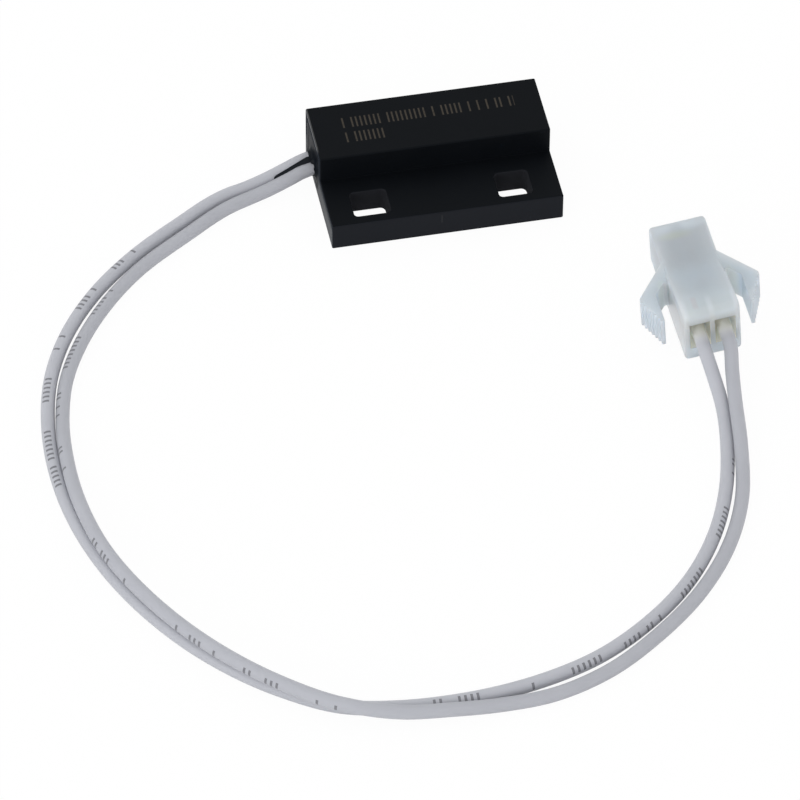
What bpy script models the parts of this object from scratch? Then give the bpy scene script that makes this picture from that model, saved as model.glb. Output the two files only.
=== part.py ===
"""Flange-mount reed sensor with two leads and a two-way plug housing.

Metres, +Z up. X runs along the sensor, and the leads leave its -X end. The slotted flange
is on the -Y side. The origin is the middle of the sensor's underside.
"""

import math

import bmesh
import bpy
import numpy as np
from mathutils import Matrix, Vector

MM = 0.001

# Sensor housing
SENSOR_LENGTH = 23.0 * MM
SENSOR_HEIGHT = 5.9 * MM
BLOCK_WIDTH = 7.45 * MM
FLANGE_WIDTH = 6.45 * MM
SENSOR_WIDTH = BLOCK_WIDTH + FLANGE_WIDTH
FLANGE_THICKNESS = 3.0 * MM
HOUSING_EDGE_RADIUS = 0.22 * MM
SLOT_SPACING = 14.5 * MM
SLOT_LENGTH = 3.9 * MM
SLOT_WIDTH = 3.5 * MM
SLOT_CORNER_RADIUS = 0.9 * MM
SLOT_EDGE_RADIUS = 0.12 * MM
SLOT_TO_FLANGE_EDGE = 2.55 * MM
CAVITY_WALL = 0.8 * MM
CAVITY_END_WALL = 1.2 * MM
CAVITY_CORNER_RADIUS = 0.6 * MM

# Potting resin, with a raised collar round each lead and a web between them
POTTING_RECESS = 0.1 * MM
COLLAR_HEIGHT = 0.32 * MM
COLLAR_FOOT = 0.45 * MM
COLLAR_LIP = 0.08 * MM
WEB_LENGTH = 4.4 * MM
WEB_HEIGHT = 0.66 * MM
WEB_TIP_HEIGHT = 0.56 * MM
WEB_WIDTH = 0.66 * MM
WEB_TIP_WIDTH = 0.3 * MM

# Reed switch: a glass tube sealed on two leads, whose flattened blades overlap in its middle
GLASS_LENGTH = 10.5 * MM
GLASS_DIAMETER = 1.8 * MM
GLASS_WALL = 0.25 * MM
SEAL_DIAMETER = 1.15 * MM
SEAL_LENGTH = 1.4 * MM
SHOULDER_LENGTH = 0.7 * MM
LEAD_DIAMETER = 0.5 * MM
LEAD_REACH = 3.0 * MM
BLADE_WIDTH = 0.9 * MM
BLADE_THICKNESS = 0.18 * MM
BLADE_OVERLAP = 1.2 * MM
CONTACT_GAP = 0.12 * MM
NECK_LENGTH = 0.8 * MM
REED_ALONG = 0.4 * MM
REED_TO_BACK = 1.1 * MM
REED_RISE = 0.25 * MM
SOLDER_LENGTH = 1.5 * MM
SOLDER_TO_GLASS = 1.3 * MM
SOLDER_SKIN = 0.16 * MM
SOLDER_SQUARENESS = 2.6

# Leads
WIRE_DIAMETER = 1.35 * MM
CONDUCTOR_DIAMETER = 0.48 * MM
WIRE_POINTS = 60

# Crimp contacts, folded from sheet. The connector's frame has x across, y from the wire side
# to the nose and z up.
SHEET = 0.2 * MM
SLEEVE_BARREL_START = 3.0 * MM
SLEEVE_BARREL_LENGTH = 1.3 * MM
BARREL_SPACING = 0.7 * MM
CORE_BARREL_LENGTH = 1.5 * MM
CONTACT_NECK = 0.95 * MM
BOX_LENGTH = 4.9 * MM
BOX_HEIGHT = 2.2 * MM
TONGUE_WIDTH = 0.9 * MM
CRIMP_SEAM = 0.1 * MM
BRUSH_LENGTH = 0.2 * MM
LANCE_WIDTH = 0.8 * MM
LANCE_LENGTH = 1.4 * MM
LANCE_DROP = 0.5 * MM
LANCE_PLAY = 0.2 * MM

# Connector housing
PITCH = 2.5 * MM
CAVITY_PLAY = 0.12 * MM
PLUG_SIDE_WALL = 0.525 * MM
PLUG_FLOOR = 1.9 * MM
PLUG_NOSE_ROOF = 0.7 * MM
PLUG_NOSE_WALL = 1.0 * MM
PLUG_REAR_HEIGHT = 6.9 * MM
PLUG_REAR_ROOF = 1.5 * MM
REAR_FALL = 0.15 * MM
REAR_CAVITY_SPACE = 0.3 * MM
RAMP_START = 2.3 * MM
RAMP_END = 7.8 * MM
PLUG_EDGE_RADIUS = 0.3 * MM
PIN_ENTRY = 1.3 * MM

# Snap arms
ARM_BOTTOM = 1.3 * MM
ARM_ROOT = 8.6 * MM
ARM_REACH = 3.1 * MM
ARM_CORNER = 5.0 * MM
ARM_CORNER_RADIUS = 0.35 * MM
ARM_TIP = 1.75 * MM
ARM_TIP_THICKNESS = 0.18 * MM
ARM_GAP = 1.45 * MM
ARM_EDGE_RADIUS = 0.06 * MM
STRUT_THICKNESS = 1.2 * MM
CROTCH_RADIUS = 0.3 * MM
ARM_STEPS = 7

# Where the connector lies, resting on its lowest corner, from the sensor's origin
PLUG_PLACE = Vector((21.70, -28.39, 0.24)) * MM
PLUG_YAW = math.radians(2.6)
PLUG_PITCH = math.radians(5.1)
PLUG_ROLL = math.radians(-5.7)

# Clearances between pieces
FIT = 0.05 * MM
CLOSE_FIT = 0.03 * MM

# Faces round a circle, and how far cutters and joined pieces reach past a face
SIDES = 20
REACH = 0.4 * MM

# The leads' middle lines in millimetres, first inside the potting and then in the open,
# as far as the connector. Both leads have as many open points, which lie side by side.
LEAD_A_INSIDE = [(-10.20, 3.78, 2.45)]
LEAD_B_INSIDE = [
    (3.40, 1.90, 1.75), (0.00, 1.90, 1.75), (-4.00, 1.90, 1.75), (-7.50, 1.95, 1.80),
    (-10.00, 2.20, 2.02),
]
LEAD_A_OPEN = [
    (-11.50, 3.75, 2.30), (-12.60, 3.62, 2.05), (-14.25, 3.22, 1.62), (-16.60, 2.62, 1.08),
    (-18.40, 2.17, 0.82), (-20.30, 1.70, 0.72), (-25.80, -1.50, 0.70), (-31.50, -5.60, 0.70),
    (-35.60, -9.65, 0.70), (-39.00, -14.50, 0.70), (-41.30, -19.70, 0.70), (-42.50, -25.10, 0.70),
    (-42.90, -30.50, 0.70), (-42.40, -37.10, 0.70), (-40.70, -43.90, 0.70), (-37.20, -51.50, 0.70),
    (-32.70, -57.80, 0.70), (-27.10, -63.00, 0.70), (-22.10, -66.00, 0.70), (-16.80, -67.15, 0.70),
    (-12.20, -67.40, 0.70), (-7.60, -67.15, 0.70), (-2.80, -66.30, 0.70), (2.20, -64.65, 0.70),
    (7.60, -61.45, 0.70), (12.60, -56.95, 0.70), (16.40, -51.45, 0.70), (18.50, -46.65, 0.71),
    (19.97, -41.20, 0.76), (20.70, -35.60, 1.22), (20.53, -32.70, 2.08),
]
LEAD_B_OPEN = [
    (-11.50, 2.30, 2.17), (-12.60, 2.20, 1.97), (-14.10, 1.83, 1.57), (-16.30, 1.25, 1.07),
    (-18.00, 0.82, 0.82), (-20.00, 0.15, 0.72), (-25.30, -3.12, 0.70), (-30.90, -7.18, 0.70),
    (-34.70, -11.22, 0.70), (-37.75, -15.68, 0.70), (-39.95, -20.40, 0.71), (-41.12, -25.30, 0.78),
    (-41.63, -30.50, 1.30), (-41.48, -37.00, 1.74), (-40.20, -43.70, 1.97), (-36.90, -51.30, 2.04),
    (-32.60, -57.70, 2.06), (-27.30, -63.20, 2.06), (-22.40, -66.70, 1.97), (-17.00, -68.35, 1.42),
    (-12.30, -68.70, 1.14), (-7.70, -68.70, 0.80), (-2.70, -68.33, 0.71), (2.60, -66.60, 0.70),
    (8.30, -63.00, 0.70), (13.50, -58.35, 0.70), (17.65, -52.65, 0.71), (19.95, -47.40, 0.82),
    (21.18, -41.55, 1.44), (21.93, -35.60, 2.08), (22.37, -32.60, 2.45),
]
# Each lead's way into its cavity, as y and z in the connector's frame
LEAD_INTO_CAVITY = [(-1.50, 3.22), (0.00, 3.38), (1.50, 3.16)]

BLACK_PLASTIC = (0.012, 0.014, 0.017, 1.0)
BLACK_RESIN = (0.008, 0.009, 0.010, 1.0)
GLASS = (0.55, 0.62, 0.55, 1.0)
NICKEL_IRON = (0.60, 0.58, 0.55, 1.0)
SOLDER = (0.62, 0.63, 0.65, 1.0)
TINNED_COPPER = (0.66, 0.62, 0.56, 1.0)
PALE_PVC = (0.45, 0.48, 0.50, 1.0)
PALE_NYLON = (0.52, 0.58, 0.58, 1.0)
TINNED_BRASS = (0.63, 0.60, 0.50, 1.0)

# Turns an outline drawn in x and y into one that stands in Y and Z, extruded along X
ACROSS_X = Matrix(((0, 0, 1, 0), (1, 0, 0, 0), (0, 1, 0, 0), (0, 0, 0, 1)))


def clear_scene():
    for obj in list(bpy.data.objects):
        bpy.data.objects.remove(obj, do_unlink=True)


def make_collection(name):
    found = bpy.data.collections.new(name)
    bpy.context.scene.collection.children.link(found)
    return found


def make_material(name, colour, roughness, metallic=0.0):
    material = bpy.data.materials.new(name)
    material.use_nodes = True
    shader = material.node_tree.nodes["Principled BSDF"]
    shader.inputs["Base Color"].default_value = colour
    shader.inputs["Roughness"].default_value = roughness
    shader.inputs["Metallic"].default_value = metallic
    return material


class Workshop:
    """Holds the two collections: the finished parts, and the shapes that only cut or join."""

    def __init__(self):
        clear_scene()
        self.parts = make_collection("reed_sensor")
        self.tools = make_collection("cutters")

    def part(self, obj, name, material):
        obj.name = name
        obj.data.materials.clear()
        obj.data.materials.append(material)
        self.parts.objects.link(obj)
        return obj

    def frame(self, name, matrix):
        empty = bpy.data.objects.new(name, None)
        self.parts.objects.link(empty)
        empty.matrix_world = matrix
        return empty

    def combine(self, obj, other, operation):
        self.tools.objects.link(other)
        other.hide_render = True
        other.display_type = "WIRE"
        modifier = obj.modifiers.new(operation.lower(), "BOOLEAN")
        modifier.operation = operation
        modifier.solver = "EXACT"
        modifier.object = other

    def cut(self, obj, other):
        self.combine(obj, other, "DIFFERENCE")

    def join(self, obj, other):
        self.combine(obj, other, "UNION")

    def lay(self, obj, place):
        """Fixes the shape of a piece made at the origin, then lays it and its cutters in a frame."""
        bpy.context.view_layer.update()
        cutters = [modifier.object for modifier in obj.modifiers if modifier.type == "BOOLEAN"]
        evaluated = obj.evaluated_get(bpy.context.evaluated_depsgraph_get())
        mesh = bpy.data.meshes.new_from_object(evaluated)
        obj.modifiers.clear()
        obj.data = mesh
        for piece in [obj] + cutters:
            piece.parent = place


def object_from_bmesh(name, shape, smooth=False):
    mesh = bpy.data.meshes.new(name)
    bmesh.ops.recalc_face_normals(shape, faces=shape.faces)
    shape.to_mesh(mesh)
    shape.free()
    if smooth:
        mesh.shade_smooth()
        mesh.set_sharp_from_angle(angle=math.radians(40))
    return bpy.data.objects.new(name, mesh)


def box(name, low, high):
    """A block between two opposite corners."""
    low = Vector(low)
    high = Vector(high)
    size = high - low
    shape = bmesh.new()
    place = Matrix.Translation((low + high) / 2) @ Matrix.Diagonal((size.x, size.y, size.z, 1))
    bmesh.ops.create_cube(shape, size=1, matrix=place)
    return object_from_bmesh(name, shape)


def rod(name, start, end, radius, end_radius=None, sides=SIDES):
    """A round bar or cone between two points."""
    start = Vector(start)
    end = Vector(end)
    along = end - start
    turn = along.to_track_quat("Z", "Y").to_matrix().to_4x4()
    shape = bmesh.new()
    bmesh.ops.create_cone(
        shape, cap_ends=True, segments=sides, radius1=radius,
        radius2=radius if end_radius is None else end_radius, depth=along.length,
        matrix=Matrix.Translation((start + end) / 2) @ turn,
    )
    return object_from_bmesh(name, shape, smooth=True)


def mesh_from_curve(curve_object):
    """Turns a curve object into a closed mesh object in the same place."""
    bpy.context.scene.collection.objects.link(curve_object)
    bpy.context.view_layer.update()
    evaluated = curve_object.evaluated_get(bpy.context.evaluated_depsgraph_get())
    mesh = bpy.data.meshes.new_from_object(evaluated)
    shape = bmesh.new()
    shape.from_mesh(mesh)
    bmesh.ops.remove_doubles(shape, verts=shape.verts, dist=0.001 * MM)
    shape.to_mesh(mesh)
    shape.free()
    obj = bpy.data.objects.new(curve_object.name, mesh)
    obj.matrix_world = curve_object.matrix_world
    bpy.data.objects.remove(curve_object, do_unlink=True)
    return obj


def tube(name, points, radius):
    """A round wire along a row of points."""
    curve = bpy.data.curves.new(name, "CURVE")
    curve.dimensions = "3D"
    curve.bevel_depth = radius
    curve.bevel_resolution = 2
    curve.use_fill_caps = True
    spline = curve.splines.new("POLY")
    spline.points.add(len(points) - 1)
    for point, place in zip(spline.points, points):
        point.co = (*place, 1)
    return bpy.data.objects.new(name, curve)


def prism(name, outline, low, high, turn=None):
    """A flat outline, extruded from one height to another along its own normal."""
    curve = bpy.data.curves.new(name, "CURVE")
    curve.dimensions = "2D"
    curve.fill_mode = "BOTH"
    curve.extrude = (high - low) / 2
    spline = curve.splines.new("POLY")
    spline.use_cyclic_u = True
    spline.points.add(len(outline) - 1)
    for point, (x, y) in zip(spline.points, outline):
        point.co = (x, y, 0, 1)
    obj = bpy.data.objects.new(name, curve)
    obj.matrix_world = (turn or Matrix.Identity(4)) @ Matrix.Translation((0, 0, (low + high) / 2))
    return mesh_from_curve(obj)


def loft(name, rings):
    """A closed skin over a row of rings that have as many points each."""
    shape = bmesh.new()
    rows = [[shape.verts.new(place) for place in ring] for ring in rings]
    for row, following in zip(rows, rows[1:]):
        for k in range(len(row)):
            after = (k + 1) % len(row)
            shape.faces.new((row[k], row[after], following[after], following[k]))
    shape.faces.new(rows[0])
    shape.faces.new(rows[-1])
    return object_from_bmesh(name, shape, smooth=True)


def turned(name, profile):
    """A closed profile of (radius, height) points, turned round X. It runs down its outer side."""
    mesh = bpy.data.meshes.new(name)
    count = len(profile)
    points = [(radius, 0, height) for radius, height in profile]
    mesh.from_pydata(points, [(k, (k + 1) % count) for k in range(count)], [])
    obj = bpy.data.objects.new(name, mesh)
    screw = obj.modifiers.new("turn", "SCREW")
    screw.steps = SIDES
    screw.render_steps = SIDES
    screw.use_merge_vertices = True
    screw.merge_threshold = 0.00001
    return obj


def rounded_outline(corners, radii, steps=5):
    """The corners as one outline, each rounded by its own radius with an arc."""
    outline = []
    count = len(corners)
    for k, (corner, radius) in enumerate(zip(corners, radii)):
        corner = Vector(corner)
        if radius == 0:
            outline.append(tuple(corner))
            continue
        back = (Vector(corners[k - 1]) - corner).normalized()
        ahead = (Vector(corners[(k + 1) % count]) - corner).normalized()
        half = back.angle(ahead) / 2
        centre = corner + (back + ahead).normalized() * radius / math.sin(half)
        first = corner + back * radius / math.tan(half) - centre
        last = corner + ahead * radius / math.tan(half) - centre
        sweep = first.angle_signed(last)
        for step in range(steps + 1):
            outline.append(tuple(centre + Matrix.Rotation(-sweep * step / steps, 2) @ first))
    return outline


def rounded_rectangle(low, high, radius):
    corners = [(low[0], low[1]), (high[0], low[1]), (high[0], high[1]), (low[0], high[1])]
    return rounded_outline(corners, [radius] * 4)


def round_edges(obj, radius, segments=2, angle=60):
    bevel = obj.modifiers.new("rounded edges", "BEVEL")
    bevel.width = radius
    bevel.segments = segments
    bevel.limit_method = "ANGLE"
    bevel.angle_limit = math.radians(angle)
    return bevel


def smooth_line(stations, parameters):
    """The points of a smooth curve through the stations, which have whole numbers as parameters.

    Each span is a cubic whose slope at a station is the mean of the two chords that meet
    there, each weighted by the other one's length.
    """
    stations = np.array(stations, float)
    before = 2 * stations[0] - stations[1]
    after = 2 * stations[-1] - stations[-2]
    padded = np.vstack([before, stations, after])
    chords = np.diff(padded, axis=0)
    lengths = np.linalg.norm(chords, axis=1)[:, None]
    slopes = chords[:-1] / lengths[:-1] * lengths[1:] + chords[1:] / lengths[1:] * lengths[:-1]
    slopes = slopes / (lengths[:-1] + lengths[1:])
    span = np.clip(np.floor(parameters).astype(int), 0, len(stations) - 2)
    t = (parameters - span)[:, None]
    scale = lengths[1:-1][span]
    return (
        (2 * t**3 - 3 * t**2 + 1) * stations[span] + (t**3 - 2 * t**2 + t) * slopes[span] * scale
        + (3 * t**2 - 2 * t**3) * stations[span + 1] + (t**3 - t**2) * slopes[span + 1] * scale
    )


def plug_matrix():
    turn = Matrix.Rotation(PLUG_YAW, 4, "Z") @ Matrix.Rotation(PLUG_PITCH, 4, "X")
    return Matrix.Translation(PLUG_PLACE) @ turn @ Matrix.Rotation(PLUG_ROLL, 4, "Y")


def contact_floor():
    """The height of the contacts' lower side in the connector's frame."""
    return PLUG_FLOOR + FIT


def sleeve_axis():
    """The height of a lead's middle where its insulation is crimped."""
    return contact_floor() + SHEET + CLOSE_FIT + WIRE_DIAMETER / 2


def core_axis():
    """The height of a conductor's middle where it is crimped."""
    return contact_floor() + SHEET + CLOSE_FIT + CONDUCTOR_DIAMETER / 2


def sleeve_end():
    """How far into its cavity a lead's insulation reaches."""
    return SLEEVE_BARREL_START + SLEEVE_BARREL_LENGTH + FIT


def core_barrel_start():
    return SLEEVE_BARREL_START + SLEEVE_BARREL_LENGTH + BARREL_SPACING


def box_start():
    """The rear of the box that takes the pin."""
    return core_barrel_start() + CORE_BARREL_LENGTH + CONTACT_NECK


def box_top():
    return contact_floor() + BOX_HEIGHT


def plug_length():
    """The contact's box ends just behind the nose wall."""
    return box_start() + BOX_LENGTH + FIT + PLUG_NOSE_WALL


def nose_height():
    return box_top() + FIT + PLUG_NOSE_ROOF


def cavity_width():
    """A cavity is wide enough for the barrel that is rolled round a lead's insulation."""
    return WIRE_DIAMETER + 2 * (CLOSE_FIT + SHEET + CAVITY_PLAY)


def plug_width():
    return PITCH + cavity_width() + 2 * PLUG_SIDE_WALL


def lead_line(inside, open_run, across):
    """A lead's middle line, and how many of its points lie inside the potting."""
    into_plug = plug_matrix()
    stations = [Vector(place) * MM for place in inside + open_run]
    for y, z in LEAD_INTO_CAVITY:
        stations.append(into_plug @ Vector((across, y * MM, z * MM)))
    for y in (SLEEVE_BARREL_START, sleeve_end()):
        stations.append(into_plug @ Vector((across, y, sleeve_axis())))
    hidden = len(inside)
    inner = np.linspace(0, hidden, 2 * hidden + 1)[:-1]
    outer = np.linspace(hidden, len(stations) - 1, WIRE_POINTS)
    return smooth_line(stations, np.concatenate([inner, outer])), len(inner)


def cavity_limits():
    """The potting cavity's lowest and highest corners."""
    low = Vector((-SENSOR_LENGTH / 2, SENSOR_WIDTH / 2 - BLOCK_WIDTH + CAVITY_WALL, CAVITY_WALL))
    high = Vector((
        SENSOR_LENGTH / 2 - CAVITY_END_WALL, SENSOR_WIDTH / 2 - CAVITY_WALL,
        SENSOR_HEIGHT - CAVITY_WALL,
    ))
    return low, high


def cavity_outline(clearance):
    low, high = cavity_limits()
    return rounded_rectangle(
        (low.y + clearance, low.z + clearance), (high.y - clearance, high.z - clearance),
        CAVITY_CORNER_RADIUS - clearance,
    )


def reed_centre():
    low, high = cavity_limits()
    return (low + high) / 2 + Vector((REED_ALONG, REED_TO_BACK, REED_RISE))


def make_housing(shop, material):
    """The moulded block and its flange are one L-shaped section, with two slots and a cavity."""
    half = SENSOR_WIDTH / 2
    step = half - BLOCK_WIDTH
    section = [
        (-half, 0), (half, 0), (half, SENSOR_HEIGHT), (step, SENSOR_HEIGHT),
        (step, FLANGE_THICKNESS), (-half, FLANGE_THICKNESS),
    ]
    housing = prism("housing", section, -SENSOR_LENGTH / 2, SENSOR_LENGTH / 2, ACROSS_X)
    shop.part(housing, "sensor_housing", material)
    round_edges(housing, HOUSING_EDGE_RADIUS, 2)
    slot_middle = SLOT_TO_FLANGE_EDGE - half
    for side in (-1, 1):
        middle = side * SLOT_SPACING / 2
        outline = rounded_rectangle(
            (middle - SLOT_LENGTH / 2, slot_middle - SLOT_WIDTH / 2),
            (middle + SLOT_LENGTH / 2, slot_middle + SLOT_WIDTH / 2), SLOT_CORNER_RADIUS,
        )
        shop.cut(housing, prism("slot", outline, -REACH, FLANGE_THICKNESS + REACH))
    round_edges(housing, SLOT_EDGE_RADIUS, 2, 80)
    low, high = cavity_limits()
    shop.cut(housing, prism("potting_cavity", cavity_outline(0), low.x - REACH, high.x, ACROSS_X))
    return housing


def glass_profile(clearance):
    """The tube's outer side, top to bottom: a neck at each seal and a round shoulder."""
    half = GLASS_LENGTH / 2
    neck = SEAL_DIAMETER / 2
    body = GLASS_DIAMETER / 2
    side = [(neck, half)]
    for step in range(5):
        turn = math.radians(90) * step / 4
        radius = neck + (body - neck) * math.sin(turn)
        side.append((radius, half - SHOULDER_LENGTH * (0.35 + 0.65 * (1 - math.cos(turn)))))
    side += [(radius, -height) for radius, height in reversed(side)]
    lengthen = (half + clearance) / half
    return [(radius + clearance, height * lengthen) for radius, height in side]


def make_glass(shop, material):
    """The tube is sealed down on both leads, with a hair of clearance round them."""
    bore = LEAD_DIAMETER / 2 + CLOSE_FIT
    chamber = GLASS_DIAMETER / 2 - GLASS_WALL
    half = GLASS_LENGTH / 2
    seal = half - SEAL_LENGTH
    inner = [
        (bore, -half), (bore, -seal), (chamber, -seal + SHOULDER_LENGTH / 2),
        (chamber, seal - SHOULDER_LENGTH / 2), (bore, seal), (bore, half),
    ]
    glass = turned("glass", glass_profile(0) + inner)
    shop.part(glass, "reed_glass", material)
    glass.location = reed_centre()
    glass.rotation_euler = (0, math.radians(90), 0)
    return glass


def blade_ring(x, half_width, half_thickness, offset, squareness):
    """A superellipse across X: squareness 2 is an ellipse, and more is nearer a rectangle."""
    centre = reed_centre()
    ring = []
    for k in range(16):
        turn = 2 * math.pi * (k + 0.5) / 16
        across = math.copysign(abs(math.cos(turn)) ** (2 / squareness), math.cos(turn))
        up = math.copysign(abs(math.sin(turn)) ** (2 / squareness), math.sin(turn))
        ring.append((
            centre.x + x, centre.y + across * half_width, centre.z + offset + up * half_thickness,
        ))
    return ring


def make_blade(shop, name, end, material):
    """A round lead, pressed flat inside the glass. The far one lies below the near one."""
    half = GLASS_LENGTH / 2
    lead = LEAD_DIAMETER / 2
    seal = half - SEAL_LENGTH
    offset = -end * (CONTACT_GAP + BLADE_THICKNESS) / 2
    flat = (BLADE_WIDTH / 2, BLADE_THICKNESS / 2, offset, 8)
    rings = [
        blade_ring(end * (half + LEAD_REACH), lead, lead, 0, 2),
        blade_ring(end * seal, lead, lead, 0, 2),
        blade_ring(end * (seal - NECK_LENGTH), *flat),
        blade_ring(-end * BLADE_OVERLAP / 2, *flat),
    ]
    return shop.part(loft(name, rings), name, material)


def conductor_offset():
    """A conductor lies beside the reed's lead, on the flange side, this far from its axis."""
    return LEAD_DIAMETER / 2 + CONDUCTOR_DIAMETER / 2 + CLOSE_FIT


def conductor_points(end, wire_end, gap):
    """The bared core, from its insulation across to the reed's lead, as a cubic S, then along it."""
    centre = reed_centre()
    joint = end * (GLASS_LENGTH / 2 + SOLDER_TO_GLASS)
    joint_end = end * (GLASS_LENGTH / 2 + SOLDER_TO_GLASS + SOLDER_LENGTH)
    first, last = (joint, joint_end) if end > 0 else (joint_end, joint)
    start = np.array(wire_end) + np.array((gap, 0, 0))
    beside = np.array(centre) - np.array((0, conductor_offset(), 0))
    landing = beside + np.array((first - FIT, 0, 0))
    t = np.linspace(0, 1, 9)[:, None]
    blend = t * t * (3 - 2 * t)
    path = start + (landing - start) * np.hstack([t, blend, blend])
    return np.vstack([path, beside + np.array((last + FIT, 0, 0))])


def make_solder(shop, name, end, conductor_line, material):
    """A barrel of solder round the lead and the conductor that lies beside it."""
    centre = reed_centre()
    middle = end * (GLASS_LENGTH / 2 + SOLDER_TO_GLASS + SOLDER_LENGTH / 2)
    across = (LEAD_DIAMETER + CONDUCTOR_DIAMETER + CLOSE_FIT) / 2 + CLOSE_FIT
    up = max(LEAD_DIAMETER, CONDUCTOR_DIAMETER) / 2 + CLOSE_FIT
    shift = -conductor_offset() / 2
    rings = []
    for step in range(7):
        along = step / 3 - 1
        skin = SOLDER_SKIN * (1 - 0.6 * along * along)
        place = middle + along * SOLDER_LENGTH / 2
        ring = blade_ring(place, across + skin, up + skin, 0, SOLDER_SQUARENESS)
        rings.append([(x, y + shift, z) for x, y, z in ring])
    blob = shop.part(loft(name, rings), name, material)
    shop.cut(blob, lead_void(CLOSE_FIT))
    shop.cut(blob, core_void(conductor_line, CLOSE_FIT))
    return blob


def core_void(line, clearance):
    """The room that a bared conductor needs."""
    return mesh_from_curve(tube("core_void", line, CONDUCTOR_DIAMETER / 2 + clearance))


def lead_void(clearance):
    """The room that both of the reed's leads need."""
    centre = reed_centre()
    reach = Vector((GLASS_LENGTH / 2 + LEAD_REACH + clearance, 0, 0))
    radius = LEAD_DIAMETER / 2 + clearance
    return rod("lead_void", centre - reach, centre + reach, radius, sides=16)


def make_collar(line):
    """Resin that has crept up a lead: it thins as the square of the distance to its lip."""
    face = -SENSOR_LENGTH / 2 + POTTING_RECESS
    rings = []
    for step in range(6):
        share = step / 5
        x = face + FIT - share * (COLLAR_HEIGHT + POTTING_RECESS + FIT)
        y = np.interp(-x, -line[:8, 0], line[:8, 1])
        z = np.interp(-x, -line[:8, 0], line[:8, 2])
        skirt = COLLAR_LIP + (COLLAR_FOOT - COLLAR_LIP) * (1 - share) ** 2
        radius = WIRE_DIAMETER / 2 + skirt
        turns = [2 * math.pi * k / SIDES for k in range(SIDES)]
        rings.append([
            (x, y + radius * math.cos(turn), z + radius * math.sin(turn)) for turn in turns
        ])
    return loft("collar", rings)


def make_web(line_a, line_b):
    """The resin drawn out between the leads: a fin that narrows and sinks along them."""
    middles = (line_a + line_b) / 2
    run = np.concatenate([[0], np.cumsum(np.linalg.norm(np.diff(middles, axis=0), axis=1))])
    places = np.linspace(-REACH, WEB_LENGTH, 9)
    rings = []
    for place in places:
        share = max(place, 0) / WEB_LENGTH
        middle = Vector([np.interp(max(place, 0), run, middles[:, k]) for k in range(3)])
        middle.x -= min(place, 0)
        apart = Vector([np.interp(max(place, 0), run, (line_a - line_b)[:, k]) for k in range(3)])
        across = apart.normalized()
        up = Vector((-1, 0, 0)).cross(across).normalized()
        up = up if up.z > 0 else -up
        half = (WEB_WIDTH * (1 - share) + WEB_TIP_WIDTH * share) / 2
        top = WEB_HEIGHT * (1 - share) + WEB_TIP_HEIGHT * share
        rings.append([
            tuple(middle + across * side * half + up * height)
            for side, height in ((-1, 0), (1, 0), (1, top), (-1, top))
        ])
    return loft("web", rings)


def make_potting(shop, lines, cores, material):
    """The resin fills the cavity round the reed switch, the joints and the leads."""
    low, high = cavity_limits()
    resin = prism(
        "resin", cavity_outline(CLOSE_FIT), low.x + POTTING_RECESS, high.x - CLOSE_FIT, ACROSS_X
    )
    shop.part(resin, "potting", material)
    for line, hidden in lines:
        shop.join(resin, make_collar(line[hidden - 1:]))
    (line_a, hidden_a), (line_b, hidden_b) = lines
    shop.join(resin, make_web(line_a[hidden_a:], line_b[hidden_b:]))
    voids = [lead_void(FIT), turned("glass_void", closed_profile(glass_profile(CLOSE_FIT)))]
    voids[1].location = reed_centre()
    voids[1].rotation_euler = (0, math.radians(90), 0)
    for line, hidden in lines:
        start = Vector(line[0])
        back = (start - Vector(line[1])).normalized()
        clear_of_web = hidden + 10
        points = np.vstack([start + back * CLOSE_FIT, line[1:clear_of_web]])
        voids.append(mesh_from_curve(tube("wire_void", points, WIRE_DIAMETER / 2 + CLOSE_FIT)))
    for end, line in cores:
        voids.append(core_void(line, FIT))
        middle = end * (GLASS_LENGTH / 2 + SOLDER_TO_GLASS + SOLDER_LENGTH / 2)
        voids.append(solder_void(middle))
    for void in voids:
        shop.cut(resin, void)
    return resin


def closed_profile(side):
    """An outer side, closed along the axis."""
    return [(0, side[0][1])] + side + [(0, side[-1][1])]


def solder_void(middle):
    centre = reed_centre()
    across = (LEAD_DIAMETER + CONDUCTOR_DIAMETER + CLOSE_FIT) / 2 + SOLDER_SKIN + 2 * CLOSE_FIT
    up = max(LEAD_DIAMETER, CONDUCTOR_DIAMETER) / 2 + SOLDER_SKIN + 2 * CLOSE_FIT
    half = SOLDER_LENGTH / 2 + CLOSE_FIT
    shift = -conductor_offset() / 2
    low = centre + Vector((middle - half, shift - across, -up))
    high = centre + Vector((middle + half, shift + across, up))
    return box("solder_void", low, high)


def arm_outline(side):
    """One snap arm seen from above: a strut out to its corner, then a stepped flank to its tip."""
    wall = plug_width() / 2
    corner = (wall + ARM_REACH, ARM_CORNER)
    slope = (ARM_ROOT - ARM_CORNER) / ARM_REACH
    inner = wall + ARM_GAP
    tip = inner + ARM_TIP_THICKNESS
    drop = STRUT_THICKNESS * math.sqrt(1 + slope * slope)
    sunk = wall - FIT

    def crotch_line(x):
        return ARM_ROOT - slope * (x - wall) - drop

    corners = [(wall - REACH, ARM_ROOT + slope * REACH), corner]
    radii = [0, ARM_CORNER_RADIUS]
    step_in = (corner[0] - tip) / ARM_STEPS
    step_back = (ARM_CORNER - ARM_TIP) / ARM_STEPS
    for k in range(ARM_STEPS):
        x = corner[0] - k * step_in
        y = ARM_CORNER - (k + 1) * step_back
        corners += [(x, y), (x - step_in, y)]
        radii += [0, 0]
    corners[-1] = (inner, ARM_TIP)
    corners += [(inner, crotch_line(inner)), (sunk, crotch_line(sunk))]
    radii += [CROTCH_RADIUS, CROTCH_RADIUS]
    corners += [(sunk, crotch_line(sunk) - 2 * CROTCH_RADIUS - REACH)]
    corners += [(wall - REACH, crotch_line(sunk) - 2 * CROTCH_RADIUS - REACH)]
    radii += [0, 0]
    outline = rounded_outline(corners, radii)
    return [(side * x, y) for x, y in outline]


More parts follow.
